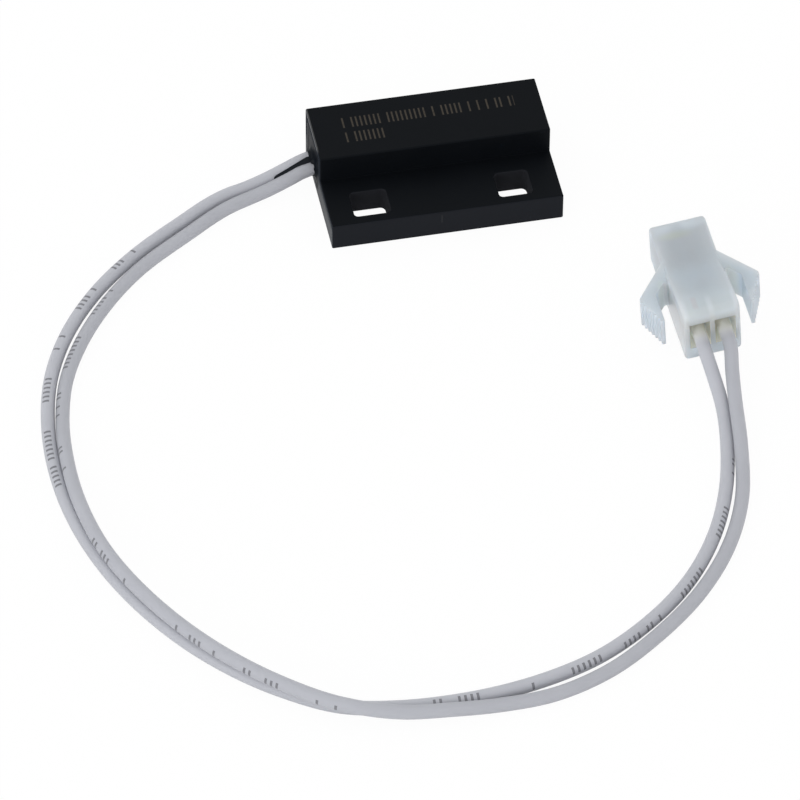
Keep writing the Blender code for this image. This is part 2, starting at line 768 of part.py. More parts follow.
def make_plug(shop, place, material):
    """The connector housing: a wedge-topped block with two cavities and two snap arms."""
    wall = plug_width() / 2
    length = plug_length()
    top = nose_height()
    section = [
        (0, 0), (length, 0), (length, top), (RAMP_END, top),
        (RAMP_START, PLUG_REAR_HEIGHT - REAR_FALL), (0, PLUG_REAR_HEIGHT),
    ]
    plug = prism("plug", section, -wall, wall, ACROSS_X)
    shop.part(plug, "connector_housing", material)
    round_edges(plug, PLUG_EDGE_RADIUS, 3)
    for side in (-1, 1):
        arm = prism("snap_arm", arm_outline(side), ARM_BOTTOM, top)
        round_edges(arm, ARM_EDGE_RADIUS, 1)
        shop.join(plug, arm)
    front_end = length - PLUG_NOSE_WALL
    rear_depth = sleeve_end() + REAR_CAVITY_SPACE
    rear_top = PLUG_REAR_HEIGHT - PLUG_REAR_ROOF
    cavity = [
        (-REACH, PLUG_FLOOR), (front_end, PLUG_FLOOR), (front_end, box_top() + FIT),
        (rear_depth, box_top() + FIT), (rear_depth, rear_top), (-REACH, rear_top),
    ]
    half = cavity_width() / 2
    entry = PIN_ENTRY / 2
    entry_middle = contact_floor() + BOX_HEIGHT / 2
    window = LANCE_WIDTH / 2 + LANCE_PLAY
    for side in (-1, 1):
        x = side * PITCH / 2
        shop.cut(plug, prism("terminal_cavity", cavity, x - half, x + half, ACROSS_X))
        shop.cut(plug, box(
            "pin_entry", (x - entry, front_end - REACH, entry_middle - entry),
            (x + entry, length + REACH, entry_middle + entry),
        ))
        shop.cut(plug, box(
            "lance_window", (x - window, lance_root() - LANCE_LENGTH - LANCE_PLAY, -REACH),
            (x + window, lance_root() + FIT, PLUG_FLOOR + REACH),
        ))
    shop.lay(plug, place)
    return plug


def make_contact(shop, name, side, place, material):
    """A box for the pin, a tongue, and two barrels rolled round the bared and the covered wire."""
    x = side * PITCH / 2
    floor = contact_floor()
    start = box_start()
    end = start + BOX_LENGTH
    half = cavity_width() / 2 - FIT
    contact = box(name, (x - half, start, floor), (x + half, end, box_top()))
    shop.part(contact, name, material)
    shop.cut(contact, box(
        "socket", (x - half + SHEET, start - REACH, floor + SHEET),
        (x + half - SHEET, end + REACH, box_top() - SHEET),
    ))
    tongue_end = SLEEVE_BARREL_START + SLEEVE_BARREL_LENGTH / 2
    shop.join(contact, box(
        "tongue", (x - TONGUE_WIDTH / 2, tongue_end, floor),
        (x + TONGUE_WIDTH / 2, start + REACH, floor + SHEET),
    ))
    barrels = (
        (SLEEVE_BARREL_START, SLEEVE_BARREL_LENGTH, WIRE_DIAMETER / 2, sleeve_axis()),
        (core_barrel_start(), CORE_BARREL_LENGTH, CONDUCTOR_DIAMETER / 2, core_axis()),
    )
    for first, length, wire_radius, axis in barrels:
        back = Vector((x, first, axis))
        front = Vector((x, first + length, axis))
        shop.join(contact, rod("barrel", back, front, wire_radius + CLOSE_FIT + SHEET))
    for first, length, wire_radius, axis in barrels:
        inner = wire_radius + CLOSE_FIT
        back = Vector((x, first - REACH / 2, axis))
        front = Vector((x, first + length + REACH / 2, axis))
        shop.cut(contact, rod("barrel_bore", back, front, inner))
        shop.cut(contact, box(
            "seam", (x - CRIMP_SEAM / 2, back.y, axis),
            (x + CRIMP_SEAM / 2, front.y, axis + inner + 2 * SHEET),
        ))
    shop.join(contact, make_lance(x, floor))
    shop.lay(contact, place)
    return contact


def lance_root():
    """The lance is bent down out of the contact's floor, just inside its box."""
    return box_start() + SHEET


def make_lance(x, floor):
    """The locking lance: a strip that points at the wire side and drops into its window."""
    half = LANCE_WIDTH / 2
    root = lance_root()
    tip = root - LANCE_LENGTH
    section = [
        (root, floor), (root, floor + SHEET), (root - SHEET, floor + SHEET),
        (tip, floor + SHEET - LANCE_DROP), (tip, floor - LANCE_DROP),
    ]
    return prism("lance", section, x - half, x + half, ACROSS_X)


def make_plug_core(shop, name, side, place, material):
    """The bared core between a lead's insulation and the end of its crimp."""
    x = side * PITCH / 2
    start = sleeve_end() + CLOSE_FIT
    landing = core_barrel_start() - FIT
    end = core_barrel_start() + CORE_BARREL_LENGTH + BRUSH_LENGTH
    points = []
    for step in range(7):
        share = step / 6
        blend = share * share * (3 - 2 * share)
        height = sleeve_axis() + (core_axis() - sleeve_axis()) * blend
        points.append((x, start + (landing - start) * share, height))
    points.append((x, end, core_axis()))
    core = shop.part(tube(name, points, CONDUCTOR_DIAMETER / 2), name, material)
    core.parent = place
    return core


def build():
    shop = Workshop()
    housing_plastic = make_material("housing_plastic", BLACK_PLASTIC, 0.35)
    resin = make_material("potting_resin", BLACK_RESIN, 0.15)
    glass = make_material("reed_glass", GLASS, 0.08)
    blade_metal = make_material("nickel_iron", NICKEL_IRON, 0.3, 1.0)
    solder = make_material("solder", SOLDER, 0.25, 1.0)
    copper = make_material("tinned_copper", TINNED_COPPER, 0.35, 1.0)
    insulation = make_material("pale_pvc", PALE_PVC, 0.55)
    nylon = make_material("pale_nylon", PALE_NYLON, 0.4)
    contact_metal = make_material("tinned_brass", TINNED_BRASS, 0.3, 1.0)

    line_a, hidden_a = lead_line(LEAD_A_INSIDE, LEAD_A_OPEN, -PITCH / 2)
    line_b, hidden_b = lead_line(LEAD_B_INSIDE, LEAD_B_OPEN, PITCH / 2)
    core_a = conductor_points(-1, line_a[0], CLOSE_FIT)
    core_b = conductor_points(1, line_b[0], CLOSE_FIT)

    make_housing(shop, housing_plastic)
    make_glass(shop, glass)
    make_blade(shop, "reed_blade_near", -1, blade_metal)
    make_blade(shop, "reed_blade_far", 1, blade_metal)
    make_solder(shop, "solder_near", -1, core_a, solder)
    make_solder(shop, "solder_far", 1, core_b, solder)
    for name, line in (("a", core_a), ("b", core_b)):
        core = tube("core", line, CONDUCTOR_DIAMETER / 2)
        shop.part(core, f"conductor_{name}_sensor_end", copper)
    for name, line in (("wire_a", line_a), ("wire_b", line_b)):
        shop.part(tube(name, line, WIRE_DIAMETER / 2), name, insulation)
    make_potting(shop, ((line_a, hidden_a), (line_b, hidden_b)), ((-1, core_a), (1, core_b)), resin)

    place = shop.frame("connector_place", plug_matrix())
    make_plug(shop, place, nylon)
    for name, side in (("a", -1), ("b", 1)):
        make_contact(shop, f"contact_{name}", side, place, contact_metal)
        make_plug_core(shop, f"conductor_{name}_connector_end", side, place, copper)


build()
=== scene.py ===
# %% [markdown]
# A reed sensor is a glass switch that a magnet closes, cast into a black block. Two pale leads
# carry the signal to a small milky plug housing. The imported model already holds every piece at
# its real size and place, so this file only gives the pieces that show a finer surface and a
# finish. It starts with that model.

# %% The imported model
import math

import bpy
import numpy as np
from mathutils import Matrix, Vector


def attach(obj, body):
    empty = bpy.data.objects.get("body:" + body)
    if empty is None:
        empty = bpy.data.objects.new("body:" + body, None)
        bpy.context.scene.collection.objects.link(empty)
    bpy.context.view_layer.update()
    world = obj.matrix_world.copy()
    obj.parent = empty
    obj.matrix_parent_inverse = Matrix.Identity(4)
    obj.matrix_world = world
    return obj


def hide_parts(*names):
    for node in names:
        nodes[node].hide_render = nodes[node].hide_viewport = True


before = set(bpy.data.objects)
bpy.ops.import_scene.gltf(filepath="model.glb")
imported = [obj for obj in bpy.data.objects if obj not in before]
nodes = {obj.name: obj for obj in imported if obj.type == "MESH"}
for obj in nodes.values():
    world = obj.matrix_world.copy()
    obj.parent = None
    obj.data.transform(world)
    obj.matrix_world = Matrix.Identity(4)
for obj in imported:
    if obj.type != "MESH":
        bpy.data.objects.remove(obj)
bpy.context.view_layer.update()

MM = 0.001
print("pieces in the packed model:", len(nodes))

# %% [markdown]
# The photograph was taken from the front left, well above the object, with a long lens. A long
# lens far away gives the almost parallel edges seen there. The camera comes first, because
# everything else is judged through it. Its turn is written as three angles: down from the
# horizon, round the vertical, and a small roll.

# %% Camera
CAMERA_PLACE = Vector((-104.47, -490.11, 489.22)) * MM
CAMERA_DOWN = math.radians(46.047)
CAMERA_ROUND = math.radians(11.675)
CAMERA_ROLL = math.radians(0.503)
LENS = 320.66


def make_camera():
    camera = bpy.data.objects.new("camera", bpy.data.cameras.new("camera"))
    tilt = Matrix.Rotation(math.pi / 2 - CAMERA_DOWN, 4, "X")
    turn = Matrix.Rotation(-CAMERA_ROUND, 4, "Z") @ tilt @ Matrix.Rotation(CAMERA_ROLL, 4, "Z")
    camera.matrix_world = Matrix.Translation(CAMERA_PLACE) @ turn
    camera.data.lens = LENS
    camera.data.sensor_width = 36
    camera.data.clip_start = 0.01
    camera.data.clip_end = 5
    bpy.context.scene.collection.objects.link(camera)
    bpy.context.scene.camera = camera
    return camera


camera = make_camera()
print("camera distance in mm:", round(camera.location.length / MM))

# %% [markdown]
# Every new piece is a skin over a grid of points: rows along the piece, columns round it. One
# helper turns such a grid into a mesh. It closes both ends, and it turns the faces outwards by
# the sign of the volume, so a shape can be written in whichever order is easiest to read. The
# same helper can lay a texture map on the skin. Its first axis follows the share of the length
# that each row has reached, and its second runs once round.

# %% A skin over a grid of points


def add_piece(name, mesh):
    piece = bpy.data.objects.new(name, mesh)
    bpy.context.scene.collection.objects.link(piece)
    return piece


def signed_volume(points, quads):
    """A sixth of the sum of triple products over both triangles of each quad. It is negative
    where the faces point inwards."""
    a, b, c, d = (points[quads[:, k]] for k in range(4))
    return (np.cross(a, b) * c + np.cross(a, c) * d).sum() / 6


def skin(name, grid, reached=None):
    """The quad of row i and column j joins (i, j), (i, j + 1), (i + 1, j + 1) and (i + 1, j).
    Columns run on from the last to the first, and the first and last rows are filled."""
    rows, columns = grid.shape[:2]
    points = grid.reshape(-1, 3) * MM
    number = np.arange(rows * columns).reshape(rows, columns)
    near, far = number[:-1], number[1:]
    quads = np.stack([near, np.roll(near, -1, 1), np.roll(far, -1, 1), far], -1).reshape(-1, 4)
    ends = [number[0][::-1], number[-1]]
    share = np.arange(rows) if reached is None else reached
    u, v = np.meshgrid(share / share[-1], np.arange(columns) / columns, indexing="ij")
    map_u = np.stack([u[:-1], u[:-1], u[1:], u[1:]], -1).reshape(-1, 4)
    map_v = (v[:-1, :, None] + np.array([0, 1, 1, 0]) / columns).reshape(-1, 4)
    if signed_volume(points, quads) < 0:
        quads, map_u, map_v = quads[:, ::-1], map_u[:, ::-1], map_v[:, ::-1]
        ends = [end[::-1] for end in ends]
    mesh = bpy.data.meshes.new(name)
    mesh.from_pydata(points, [], quads.tolist() + [end.tolist() for end in ends])
    if reached is not None:
        sides = np.stack([map_u, map_v], -1).reshape(-1, 2)
        caps = np.concatenate([np.zeros((columns, 2)), np.ones((columns, 2))])
        laid = mesh.uv_layers.new(name="along")
        laid.data.foreach_set("uv", np.concatenate([sides, caps]).ravel())
    mesh.update()
    return add_piece(name, mesh)


def soften(piece, angle=35):
    """Smooth shading, split where two faces meet at more than the angle, with each normal led
    by its largest face, so that flat faces stay flat beside a rounded edge."""
    piece.data.shade_smooth()
    piece.data.set_sharp_from_angle(angle=math.radians(angle))
    weighted = piece.modifiers.new("flat faces lead", "WEIGHTED_NORMAL")
    weighted.keep_sharp = True
    return piece


# %% [markdown]
# The leads are PVC-covered wires of 1.35 mm. Each is seen from the sensor to the plug, so its
# route is a list of given points, and a smooth curve runs through them. They lie on the floor,
# cross over each other at the left of the loop and sink back side by side. Inside the resin one of
# them runs on to the far end of the reed switch.

# %% Routes of the two leads, in millimetres
WIRE_DIAMETER = 1.35
PITCH = 2.5
LEAD_A_INSIDE = [(-10.20, 3.78, 2.45)]
LEAD_B_INSIDE = [
    (3.40, 1.90, 1.75), (0.00, 1.90, 1.75), (-4.00, 1.90, 1.75), (-7.50, 1.95, 1.80),
    (-10.00, 2.20, 2.02),
]
LEAD_A_OPEN = [
    (-11.50, 3.75, 2.30), (-12.60, 3.62, 2.05), (-14.25, 3.22, 1.62), (-16.60, 2.62, 1.08),
    (-18.40, 2.17, 0.82), (-20.30, 1.70, 0.72), (-25.80, -1.50, 0.70), (-31.50, -5.60, 0.70),
    (-35.60, -9.65, 0.70), (-39.00, -14.50, 0.70), (-41.30, -19.70, 0.70), (-42.50, -25.10, 0.70),
    (-42.90, -30.50, 0.70), (-42.40, -37.10, 0.70), (-40.70, -43.90, 0.70), (-37.20, -51.50, 0.70),
    (-32.70, -57.80, 0.70), (-27.10, -63.00, 0.70), (-22.10, -66.00, 0.70), (-16.80, -67.15, 0.70),
    (-12.20, -67.40, 0.70), (-7.60, -67.15, 0.70), (-2.80, -66.30, 0.70), (2.20, -64.65, 0.70),
    (7.60, -61.45, 0.70), (12.60, -56.95, 0.70), (16.40, -51.45, 0.70), (18.50, -46.65, 0.71),
    (19.97, -41.20, 0.76), (20.70, -35.60, 1.22), (20.53, -32.70, 2.08),
]
LEAD_B_OPEN = [
    (-11.50, 2.30, 2.17), (-12.60, 2.20, 1.97), (-14.10, 1.83, 1.57), (-16.30, 1.25, 1.07),
    (-18.00, 0.82, 0.82), (-20.00, 0.15, 0.72), (-25.30, -3.12, 0.70), (-30.90, -7.18, 0.70),
    (-34.70, -11.22, 0.70), (-37.75, -15.68, 0.70), (-39.95, -20.40, 0.71), (-41.12, -25.30, 0.78),
    (-41.63, -30.50, 1.30), (-41.48, -37.00, 1.74), (-40.20, -43.70, 1.97), (-36.90, -51.30, 2.04),
    (-32.60, -57.70, 2.06), (-27.30, -63.20, 2.06), (-22.40, -66.70, 1.97), (-17.00, -68.35, 1.42),
    (-12.30, -68.70, 1.14), (-7.70, -68.70, 0.80), (-2.70, -68.33, 0.71), (2.60, -66.60, 0.70),
    (8.30, -63.00, 0.70), (13.50, -58.35, 0.70), (17.65, -52.65, 0.71), (19.95, -47.40, 0.82),
    (21.18, -41.55, 1.44), (21.93, -35.60, 2.08), (22.37, -32.60, 2.45),
]
LEAD_INTO_CAVITY = [(-1.50, 3.22), (0.00, 3.38), (1.50, 3.16), (3.00, 2.855), (4.35, 2.855)]
print("points along the open routes:", len(LEAD_A_OPEN), len(LEAD_B_OPEN))

# %% [markdown]
# The plug housing lies tilted on one corner, held there by the stiff leads. All of its own
# shapes are worked out in its own frame, with x across, y from the wires to the nose and z up.
# One matrix then lays them in place, so nothing has to be turned by hand.

# %% Where the plug housing lies
PLUG_PLACE = (21.70, -28.39, 0.24)
PLUG_YAW = math.radians(2.6)
PLUG_PITCH = math.radians(5.1)
PLUG_ROLL = math.radians(-5.7)


def plug_turn():
    turn = Matrix.Rotation(PLUG_YAW, 3, "Z") @ Matrix.Rotation(PLUG_PITCH, 3, "X")
    return turn @ Matrix.Rotation(PLUG_ROLL, 3, "Y")


def lay_in_plug(points):
    """Turned point = turn times point, plus the plug's place, for a whole array at once."""
    return points @ np.array(plug_turn()).T + PLUG_PLACE


print("plug tilt in degrees:", round(math.degrees(plug_turn().to_quaternion().angle), 1))

# %% [markdown]
# A wire bends evenly, so the curve through the stations must have no corners. Each span is a
# cubic, and its slope at a station is the mean of the two chords there, each weighted by the
# length of the other. The tube is a ring of points carried along that curve. The ring's first
# direction always leans the same way, towards the front and up, so that strokes drawn along
# the wire stay on one side.

# %% Tubes along the routes
PRINT_SIDE = np.array((-0.15, -0.66, 0.74))


def smooth_line(stations, parameters):
    """The cubic of each span is (2t^3 - 3t^2 + 1) p0 + (t^3 - 2t^2 + t) m0 + (3t^2 - 2t^3) p1
    + (t^3 - t^2) m1, where the m are the slopes at its two stations times its chord."""
    stations = np.array(stations, float)
    before = 2 * stations[0] - stations[1]
    after = 2 * stations[-1] - stations[-2]
    chords = np.diff(np.vstack([before, stations, after]), axis=0)
    lengths = np.linalg.norm(chords, axis=1)[:, None]
    slopes = chords[:-1] / lengths[:-1] * lengths[1:] + chords[1:] / lengths[1:] * lengths[:-1]
    slopes = slopes / (lengths[:-1] + lengths[1:])
    span = np.clip(np.floor(parameters).astype(int), 0, len(stations) - 2)
    t = (parameters - span)[:, None]
    scale = lengths[1:-1][span]
    return (
        (2 * t**3 - 3 * t**2 + 1) * stations[span] + (t**3 - 2 * t**2 + t) * slopes[span] * scale
        + (3 * t**2 - 2 * t**3) * stations[span + 1] + (t**3 - t**2) * slopes[span + 1] * scale
    )


def unit(vectors):
    return vectors / np.linalg.norm(vectors, axis=-1, keepdims=True)


def lead_path(inside, outside, across, per_span=8):
    """The middle line of one lead, and the number of its points inside the resin."""
    into_plug = lay_in_plug(np.array([(across, y, z) for y, z in LEAD_INTO_CAVITY]))
    stations = np.vstack([inside, outside, into_plug])
    parameters = np.linspace(0, len(stations) - 1, (len(stations) - 1) * per_span + 1)
    return smooth_line(stations, parameters), len(inside) * per_span


def run_along(path):
    """The length reached at each point of a path."""
    return np.concatenate([[0], np.cumsum(np.linalg.norm(np.diff(path, axis=0), axis=1))])


def tube(name, path, radius, sides=24, ends=(0.10, 0.10)):
    """Each ring is centre + r cos(a) p + r sin(a) q. p is the print side made square to the
    path, and q is square to both. At each end the rings close in by a quarter circle."""
    along = unit(np.gradient(path, axis=0))
    p = unit(PRINT_SIDE - (along @ PRINT_SIDE)[:, None] * along)
    q = np.cross(along, p)
    bow = np.linspace(0, math.pi / 2, 5)
    first = path[0] + along[0] * (ends[0] * (1 - np.cos(bow)))[:, None]
    last = path[-1] - along[-1] * (ends[1] * (1 - np.cos(bow)))[::-1, None]
    centres = np.vstack([first[:-1], first[-1:], path[1:-1], last[:1], last[1:]])
    radii = np.concatenate([
        radius - ends[0] * (1 - np.sin(bow)), np.full(len(path) - 2, radius),
        (radius - ends[1] * (1 - np.sin(bow)))[::-1],
    ])
    final = len(path) - 1
    pick = np.concatenate([
        np.zeros(len(bow), int), np.arange(1, final), np.full(len(bow), final),
    ])
    turn = np.linspace(0, 2 * math.pi, sides, endpoint=False)[None, :, None]
    ring = np.cos(turn) * p[pick][:, None] + np.sin(turn) * q[pick][:, None]
    return skin(name, centres[:, None] + radii[:, None, None] * ring, run_along(path)[pick])


def make_lead(name, inside, outside, side):
    path, hidden = lead_path(inside, outside, side * PITCH / 2)
    wire = tube(name, path, WIRE_DIAMETER / 2)
    wire.data.shade_smooth()
    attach(wire, "root")
    print(name, "is", round(run_along(path)[-1], 1), "mm long")
    return wire, path, hidden


lead_a, path_a, hidden_a = make_lead("lead_a", LEAD_A_INSIDE, LEAD_A_OPEN, -1)
lead_b, path_b, hidden_b = make_lead("lead_b", LEAD_B_INSIDE, LEAD_B_OPEN, 1)

# %% [markdown]
# Nearly everything moulded here is a flat outline pushed straight through, with every edge
# slightly round. One outline function rounds the corners. It can also draw the outline a little
# smaller: an outer arc loses the inset from its radius and an inner arc gains it. Stacking such
# outlines, with the inset following a quarter circle near both ends, gives the round rims that
# catch the light. With the inset outwards instead, the same stack cuts a hole with a round rim.

# %% Rounded outlines and the blocks made from them
CUTTER_REACH = 0.5


def rounded(corners, radii, inset=0.0, steps=6):
    """The corners, counterclockwise, as arcs. Each arc's centre lies at the corner plus
    r (m + n) / (1 + m.n), where m and n are the inner normals of the two sides that meet."""
    corners = np.array(corners, float)
    radii = np.broadcast_to(np.array(radii, float), len(corners))
    arriving = unit(corners - np.roll(corners, 1, 0))
    leaving = np.roll(arriving, -1, 0)
    m = np.stack([-arriving[:, 1], arriving[:, 0]], 1)
    n = np.stack([-leaving[:, 1], leaving[:, 0]], 1)
    cross = arriving[:, 0] * leaving[:, 1] - arriving[:, 1] * leaving[:, 0]
    dot = (arriving * leaving).sum(1)
    turn = np.arctan2(cross, dot)
    side = np.sign(turn)
    centre = corners + ((side * radii) / (1 + dot))[:, None] * (m + n)
    angle = turn[:, None] * np.linspace(0, 1, steps + 1)
    start = (-side[:, None] * m)[:, None]
    square = np.stack([-start[..., 1], start[..., 0]], -1)
    arm = np.cos(angle)[..., None] * start + np.sin(angle)[..., None] * square
    return (centre[:, None] + (radii - side * inset)[:, None, None] * arm).reshape(-1, 2)


def rim(low, high, edge, steps=4):
    """Heights and insets of the rows. From each end the height rises by e (1 - cos t) while
    the inset falls as e (1 - sin t)."""
    t = np.linspace(0, math.pi / 2, steps + 1)
    rise = edge * (1 - np.cos(t))
    inset = edge * (1 - np.sin(t))
    return np.concatenate([low + rise, (high - rise)[::-1]]), np.concatenate([inset, inset[::-1]])


def stack(corners, radii, heights, insets, axes):
    """One outline a row. axes names the directions of the outline's two axes and of height."""
    outlines = np.array([rounded(corners, radii, inset) for inset in insets])
    across, up, along = ("xyz".index(axis) for axis in axes)
    grid = np.empty((*outlines.shape[:2], 3))
    grid[..., across] = outlines[..., 0]
    grid[..., up] = outlines[..., 1]
    grid[..., along] = np.array(heights)[:, None]
    return grid


def block(corners, radii, low, high, edge, axes="xyz"):
    return stack(corners, radii, *rim(low, high, edge), axes)


def opening(corners, radii, low, high, edge, axes="xyz"):
    """A cutter: it flares at both ends by the rim's radius and goes on past them."""
    heights, insets = rim(low, high, edge)
    heights = np.concatenate([[low - CUTTER_REACH], heights, [high + CUTTER_REACH]])
    insets = -np.concatenate([insets[:1], insets, insets[-1:]])
    return stack(corners, radii, heights, insets, axes)


def rectangle(low, high):
    return [(low[0], low[1]), (high[0], low[1]), (high[0], high[1]), (low[0], high[1])]


def combine(piece, grid, operation="DIFFERENCE"):
    """Cuts or joins another skin and keeps the result as the piece's own mesh."""
    tool = skin("tool", grid)
    boolean = piece.modifiers.new("combine", "BOOLEAN")
    boolean.operation = operation
    boolean.solver = "EXACT"
    boolean.object = tool
    bpy.context.view_layer.update()
    evaluated = piece.evaluated_get(bpy.context.evaluated_depsgraph_get())
    mesh = bpy.data.meshes.new_from_object(evaluated)
    piece.modifiers.clear()
    piece.data = mesh
    bpy.data.objects.remove(tool, do_unlink=True)


# %% [markdown]
# The sensor's housing is one L-shaped section, 23 mm long, with two slots through its lower
# flange and a deep cavity that opens at the end where the leads leave. Its edges are rounded by
# 0.15 mm, which shows as a thin bright line on the black.

# %% Sensor housing
HALF_LENGTH = 11.5
HALF_WIDTH = 6.95
STEP = -0.5
HEIGHT = 5.9
FLANGE = 3.0
EDGE = 0.15
STEP_CORNER = 0.02
SLOTS = [(-7.22, 3.65), (7.03, 3.35)]
SLOT_FRONT = 1.04
SLOT_BACK = 4.33
SLOT_LEAN = 0.35
SLOT_FRONT_CORNER = 0.4
SLOT_BACK_CORNER = 0.5
SLOT_RIM = 0.12
CAVITY_LOW = (0.30, 0.80)
CAVITY_HIGH = (6.15, 5.10)
CAVITY_DEPTH = 21.8
CAVITY_CORNER = 0.6
CAVITY_RIM = 0.07


def make_housing():
    """The back wall of each slot leans: it stands further back the lower it is, by a share that
    grows evenly from the slot's front to its back."""
    section = [
        (-HALF_WIDTH, 0), (HALF_WIDTH, 0), (HALF_WIDTH, HEIGHT), (STEP, HEIGHT),
        (STEP, FLANGE), (-HALF_WIDTH, FLANGE),
    ]
    radii = [EDGE, EDGE, EDGE, EDGE, STEP_CORNER, EDGE]
    housing = skin("housing", block(section, radii, -HALF_LENGTH, HALF_LENGTH, EDGE, "yzx"))
    near, far = SLOT_FRONT - HALF_WIDTH, SLOT_BACK - HALF_WIDTH
    radii = [SLOT_FRONT_CORNER, SLOT_FRONT_CORNER, SLOT_BACK_CORNER, SLOT_BACK_CORNER]
    for x, wide in SLOTS:
        corners = rectangle((x - wide / 2, near), (x + wide / 2, far))
        cutter = opening(corners, radii, 0, FLANGE, SLOT_RIM)
        lean = (cutter[..., 1] - near) / (far - near) * (1 - cutter[..., 2] / FLANGE)
        cutter[..., 1] += SLOT_LEAN * lean
        combine(housing, cutter)
    t = np.linspace(0, 1, 5)
    mouth = CAVITY_RIM * t
    flare = CAVITY_RIM * (1 - np.sin(t * math.pi / 2))
    heights = np.array([-CUTTER_REACH, *mouth, CAVITY_DEPTH]) - HALF_LENGTH
    insets = -np.array([CAVITY_RIM, *flare, 0])
    cavity = stack(rectangle(CAVITY_LOW, CAVITY_HIGH), CAVITY_CORNER, heights, insets, "yzx")
    combine(housing, cavity)
    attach(housing, "root")
    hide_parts("sensor_housing")
    return soften(housing)


housing = make_housing()
print("housing faces:", len(housing.data.polygons))

# %% [markdown]
# The cavity is filled with black resin, poured from the lead end. It wets the leads, so its
# surface is flat in the middle and climbs in a smooth foot round each of them. The surface is
# worked out as a height over the end face: the sum of two climbs, each falling off with the
# distance to a lead.

# %% Resin face with its two collars
RESIN_RECESS = 0.10
COLLAR_CLIMB = 0.46
COLLAR_FALL = 0.20
RESIN_CLEARANCE = 0.03
RESIN_FOOT = 0.08
RESIN_POINT = 0.01
RESIN_MIDDLE = np.array((3.0, 2.25))
RESIN_ROWS = 70
RESIN_COLUMNS = 120
COLLAR_FADE = 6


def collar_climb(y, z, path):
    """climb exp(-(d - r) / fall), where d is the distance to the lead's middle."""
    place = path[np.argmin(np.abs(path[:, 0] + HALF_LENGTH))]
    distance = np.hypot(y - place[1], z - place[2]) - WIRE_DIAMETER / 2
    return COLLAR_CLIMB * np.exp(-np.clip(distance, 0, None) / COLLAR_FALL)


def make_resin_face():
    """Rings shrink from the cavity's outline to a point between the leads. Each point is pushed
    out of the face by both climbs, which fade to nothing at the cavity's wall, and by a foot
    that the resin makes against the wall, f exp(-d / f)."""
    outline = rounded(rectangle(CAVITY_LOW, CAVITY_HIGH), CAVITY_CORNER, RESIN_CLEARANCE)
    along = run_along(outline)
    even = np.linspace(0, along[-1], RESIN_COLUMNS + 1)[:-1]
    outline = np.column_stack([np.interp(even, along, outline[:, k]) for k in range(2)])
    share = np.linspace(1, RESIN_POINT, RESIN_ROWS)[:, None, None]
    flat = RESIN_MIDDLE + (outline - RESIN_MIDDLE) * share
    y, z = flat[..., 0], flat[..., 1]
    climb = collar_climb(y, z, path_a) + collar_climb(y, z, path_b)
    fade = np.clip((1 - share[..., 0]) * COLLAR_FADE, 0, 1)
    to_wall = np.linalg.norm(outline - RESIN_MIDDLE, axis=1) * (1 - share[..., 0])
    foot = RESIN_FOOT * np.exp(-to_wall / RESIN_FOOT)
    x = -HALF_LENGTH + RESIN_RECESS - foot - np.minimum(climb, COLLAR_CLIMB) * fade
    face = np.dstack([x, flat])
    back = face[:1].copy()
    back[..., 0] = -HALF_LENGTH + CAVITY_DEPTH - RESIN_CLEARANCE
    resin = skin("resin_face", np.concatenate([back, face]))
    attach(resin, "root")
    return soften(resin, 60)


resin_face = make_resin_face()
print("resin faces:", len(resin_face.data.polygons))

# %% [markdown]
# While it was still liquid the resin also ran out between the two leads, where it set as a
# small black web. Its section is a valley: the resin stands higher against each wire than in
# the middle. The section is carried along the leads and ends in a blunt tip.

# %% Resin web between the leads
WEB_LENGTH = 4.3
WEB_ROOT_ANGLE = math.radians(68)
WEB_TIP_ANGLE = math.radians(42)
WEB_FLARE = math.radians(45)
WEB_FLARE_LENGTH = 0.45
WEB_DIP = 0.12
WEB_BOTTOM = 0.25
WEB_INSIDE = 0.35
WEB_HOLD = 0.97 * WIRE_DIAMETER / 2
WEB_BLUNT = 0.9
WEB_NARROW = 0.5
WEB_ROWS = 25
WEB_COLUMNS = 11


def make_web():
    """Each section starts on one lead's surface at the contact angle, dips by a parabola,
    climbs to the other lead and returns along a narrow underside. The first section lies a
    little way inside the resin, and the last tenth closes in by a quarter circle."""
    open_a, open_b = path_a[hidden_a:], path_b[hidden_b:]
    middle = (open_a + open_b) / 2
    run = run_along(middle)
    place = np.concatenate([[-WEB_INSIDE], np.linspace(0, 1, WEB_ROWS) * WEB_LENGTH])
    reached = np.clip(place, 0, None)
    centre, apart = (
        np.column_stack([np.interp(reached, run, line[:, k]) for k in range(3)])
        for line in (middle, open_a - open_b)
    )
    centre[0, 0] += WEB_INSIDE
    half_gap = np.linalg.norm(apart, axis=1)[:, None] / 2
    across = unit(apart)
    along = unit(np.gradient(centre, axis=0))
    up = np.cross(across, along)
    up = up * np.sign(up[:, 2:])
    share = np.clip(place / WEB_LENGTH, 0, 1)[:, None]
    into_tip = np.clip(share - WEB_BLUNT, 0, 1) / (1 - WEB_BLUNT)
    blunt = np.sqrt(np.clip(1 - into_tip**2, 0.02, 1))
    flare = WEB_FLARE * np.exp(-reached / WEB_FLARE_LENGTH)[:, None]
    angle = (WEB_ROOT_ANGLE + (WEB_TIP_ANGLE - WEB_ROOT_ANGLE) * share) * blunt + flare
    reach = half_gap - WEB_HOLD * np.cos(angle)
    top = WEB_HOLD * np.sin(angle)
    t = np.linspace(-1, 1, WEB_COLUMNS)[None]
    sides = np.concatenate([t * reach, -t * reach * WEB_NARROW], axis=1)
    underside = np.broadcast_to(-WEB_BOTTOM * blunt, (len(place), WEB_COLUMNS))
    heights = np.concatenate([top * (1 - WEB_DIP * (1 - t**2)), underside], axis=1)
    grid = centre[:, None] + sides[..., None] * across[:, None] + heights[..., None] * up[:, None]
    web = skin("resin_web", grid)
    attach(web, "root")
    return soften(web, 60)


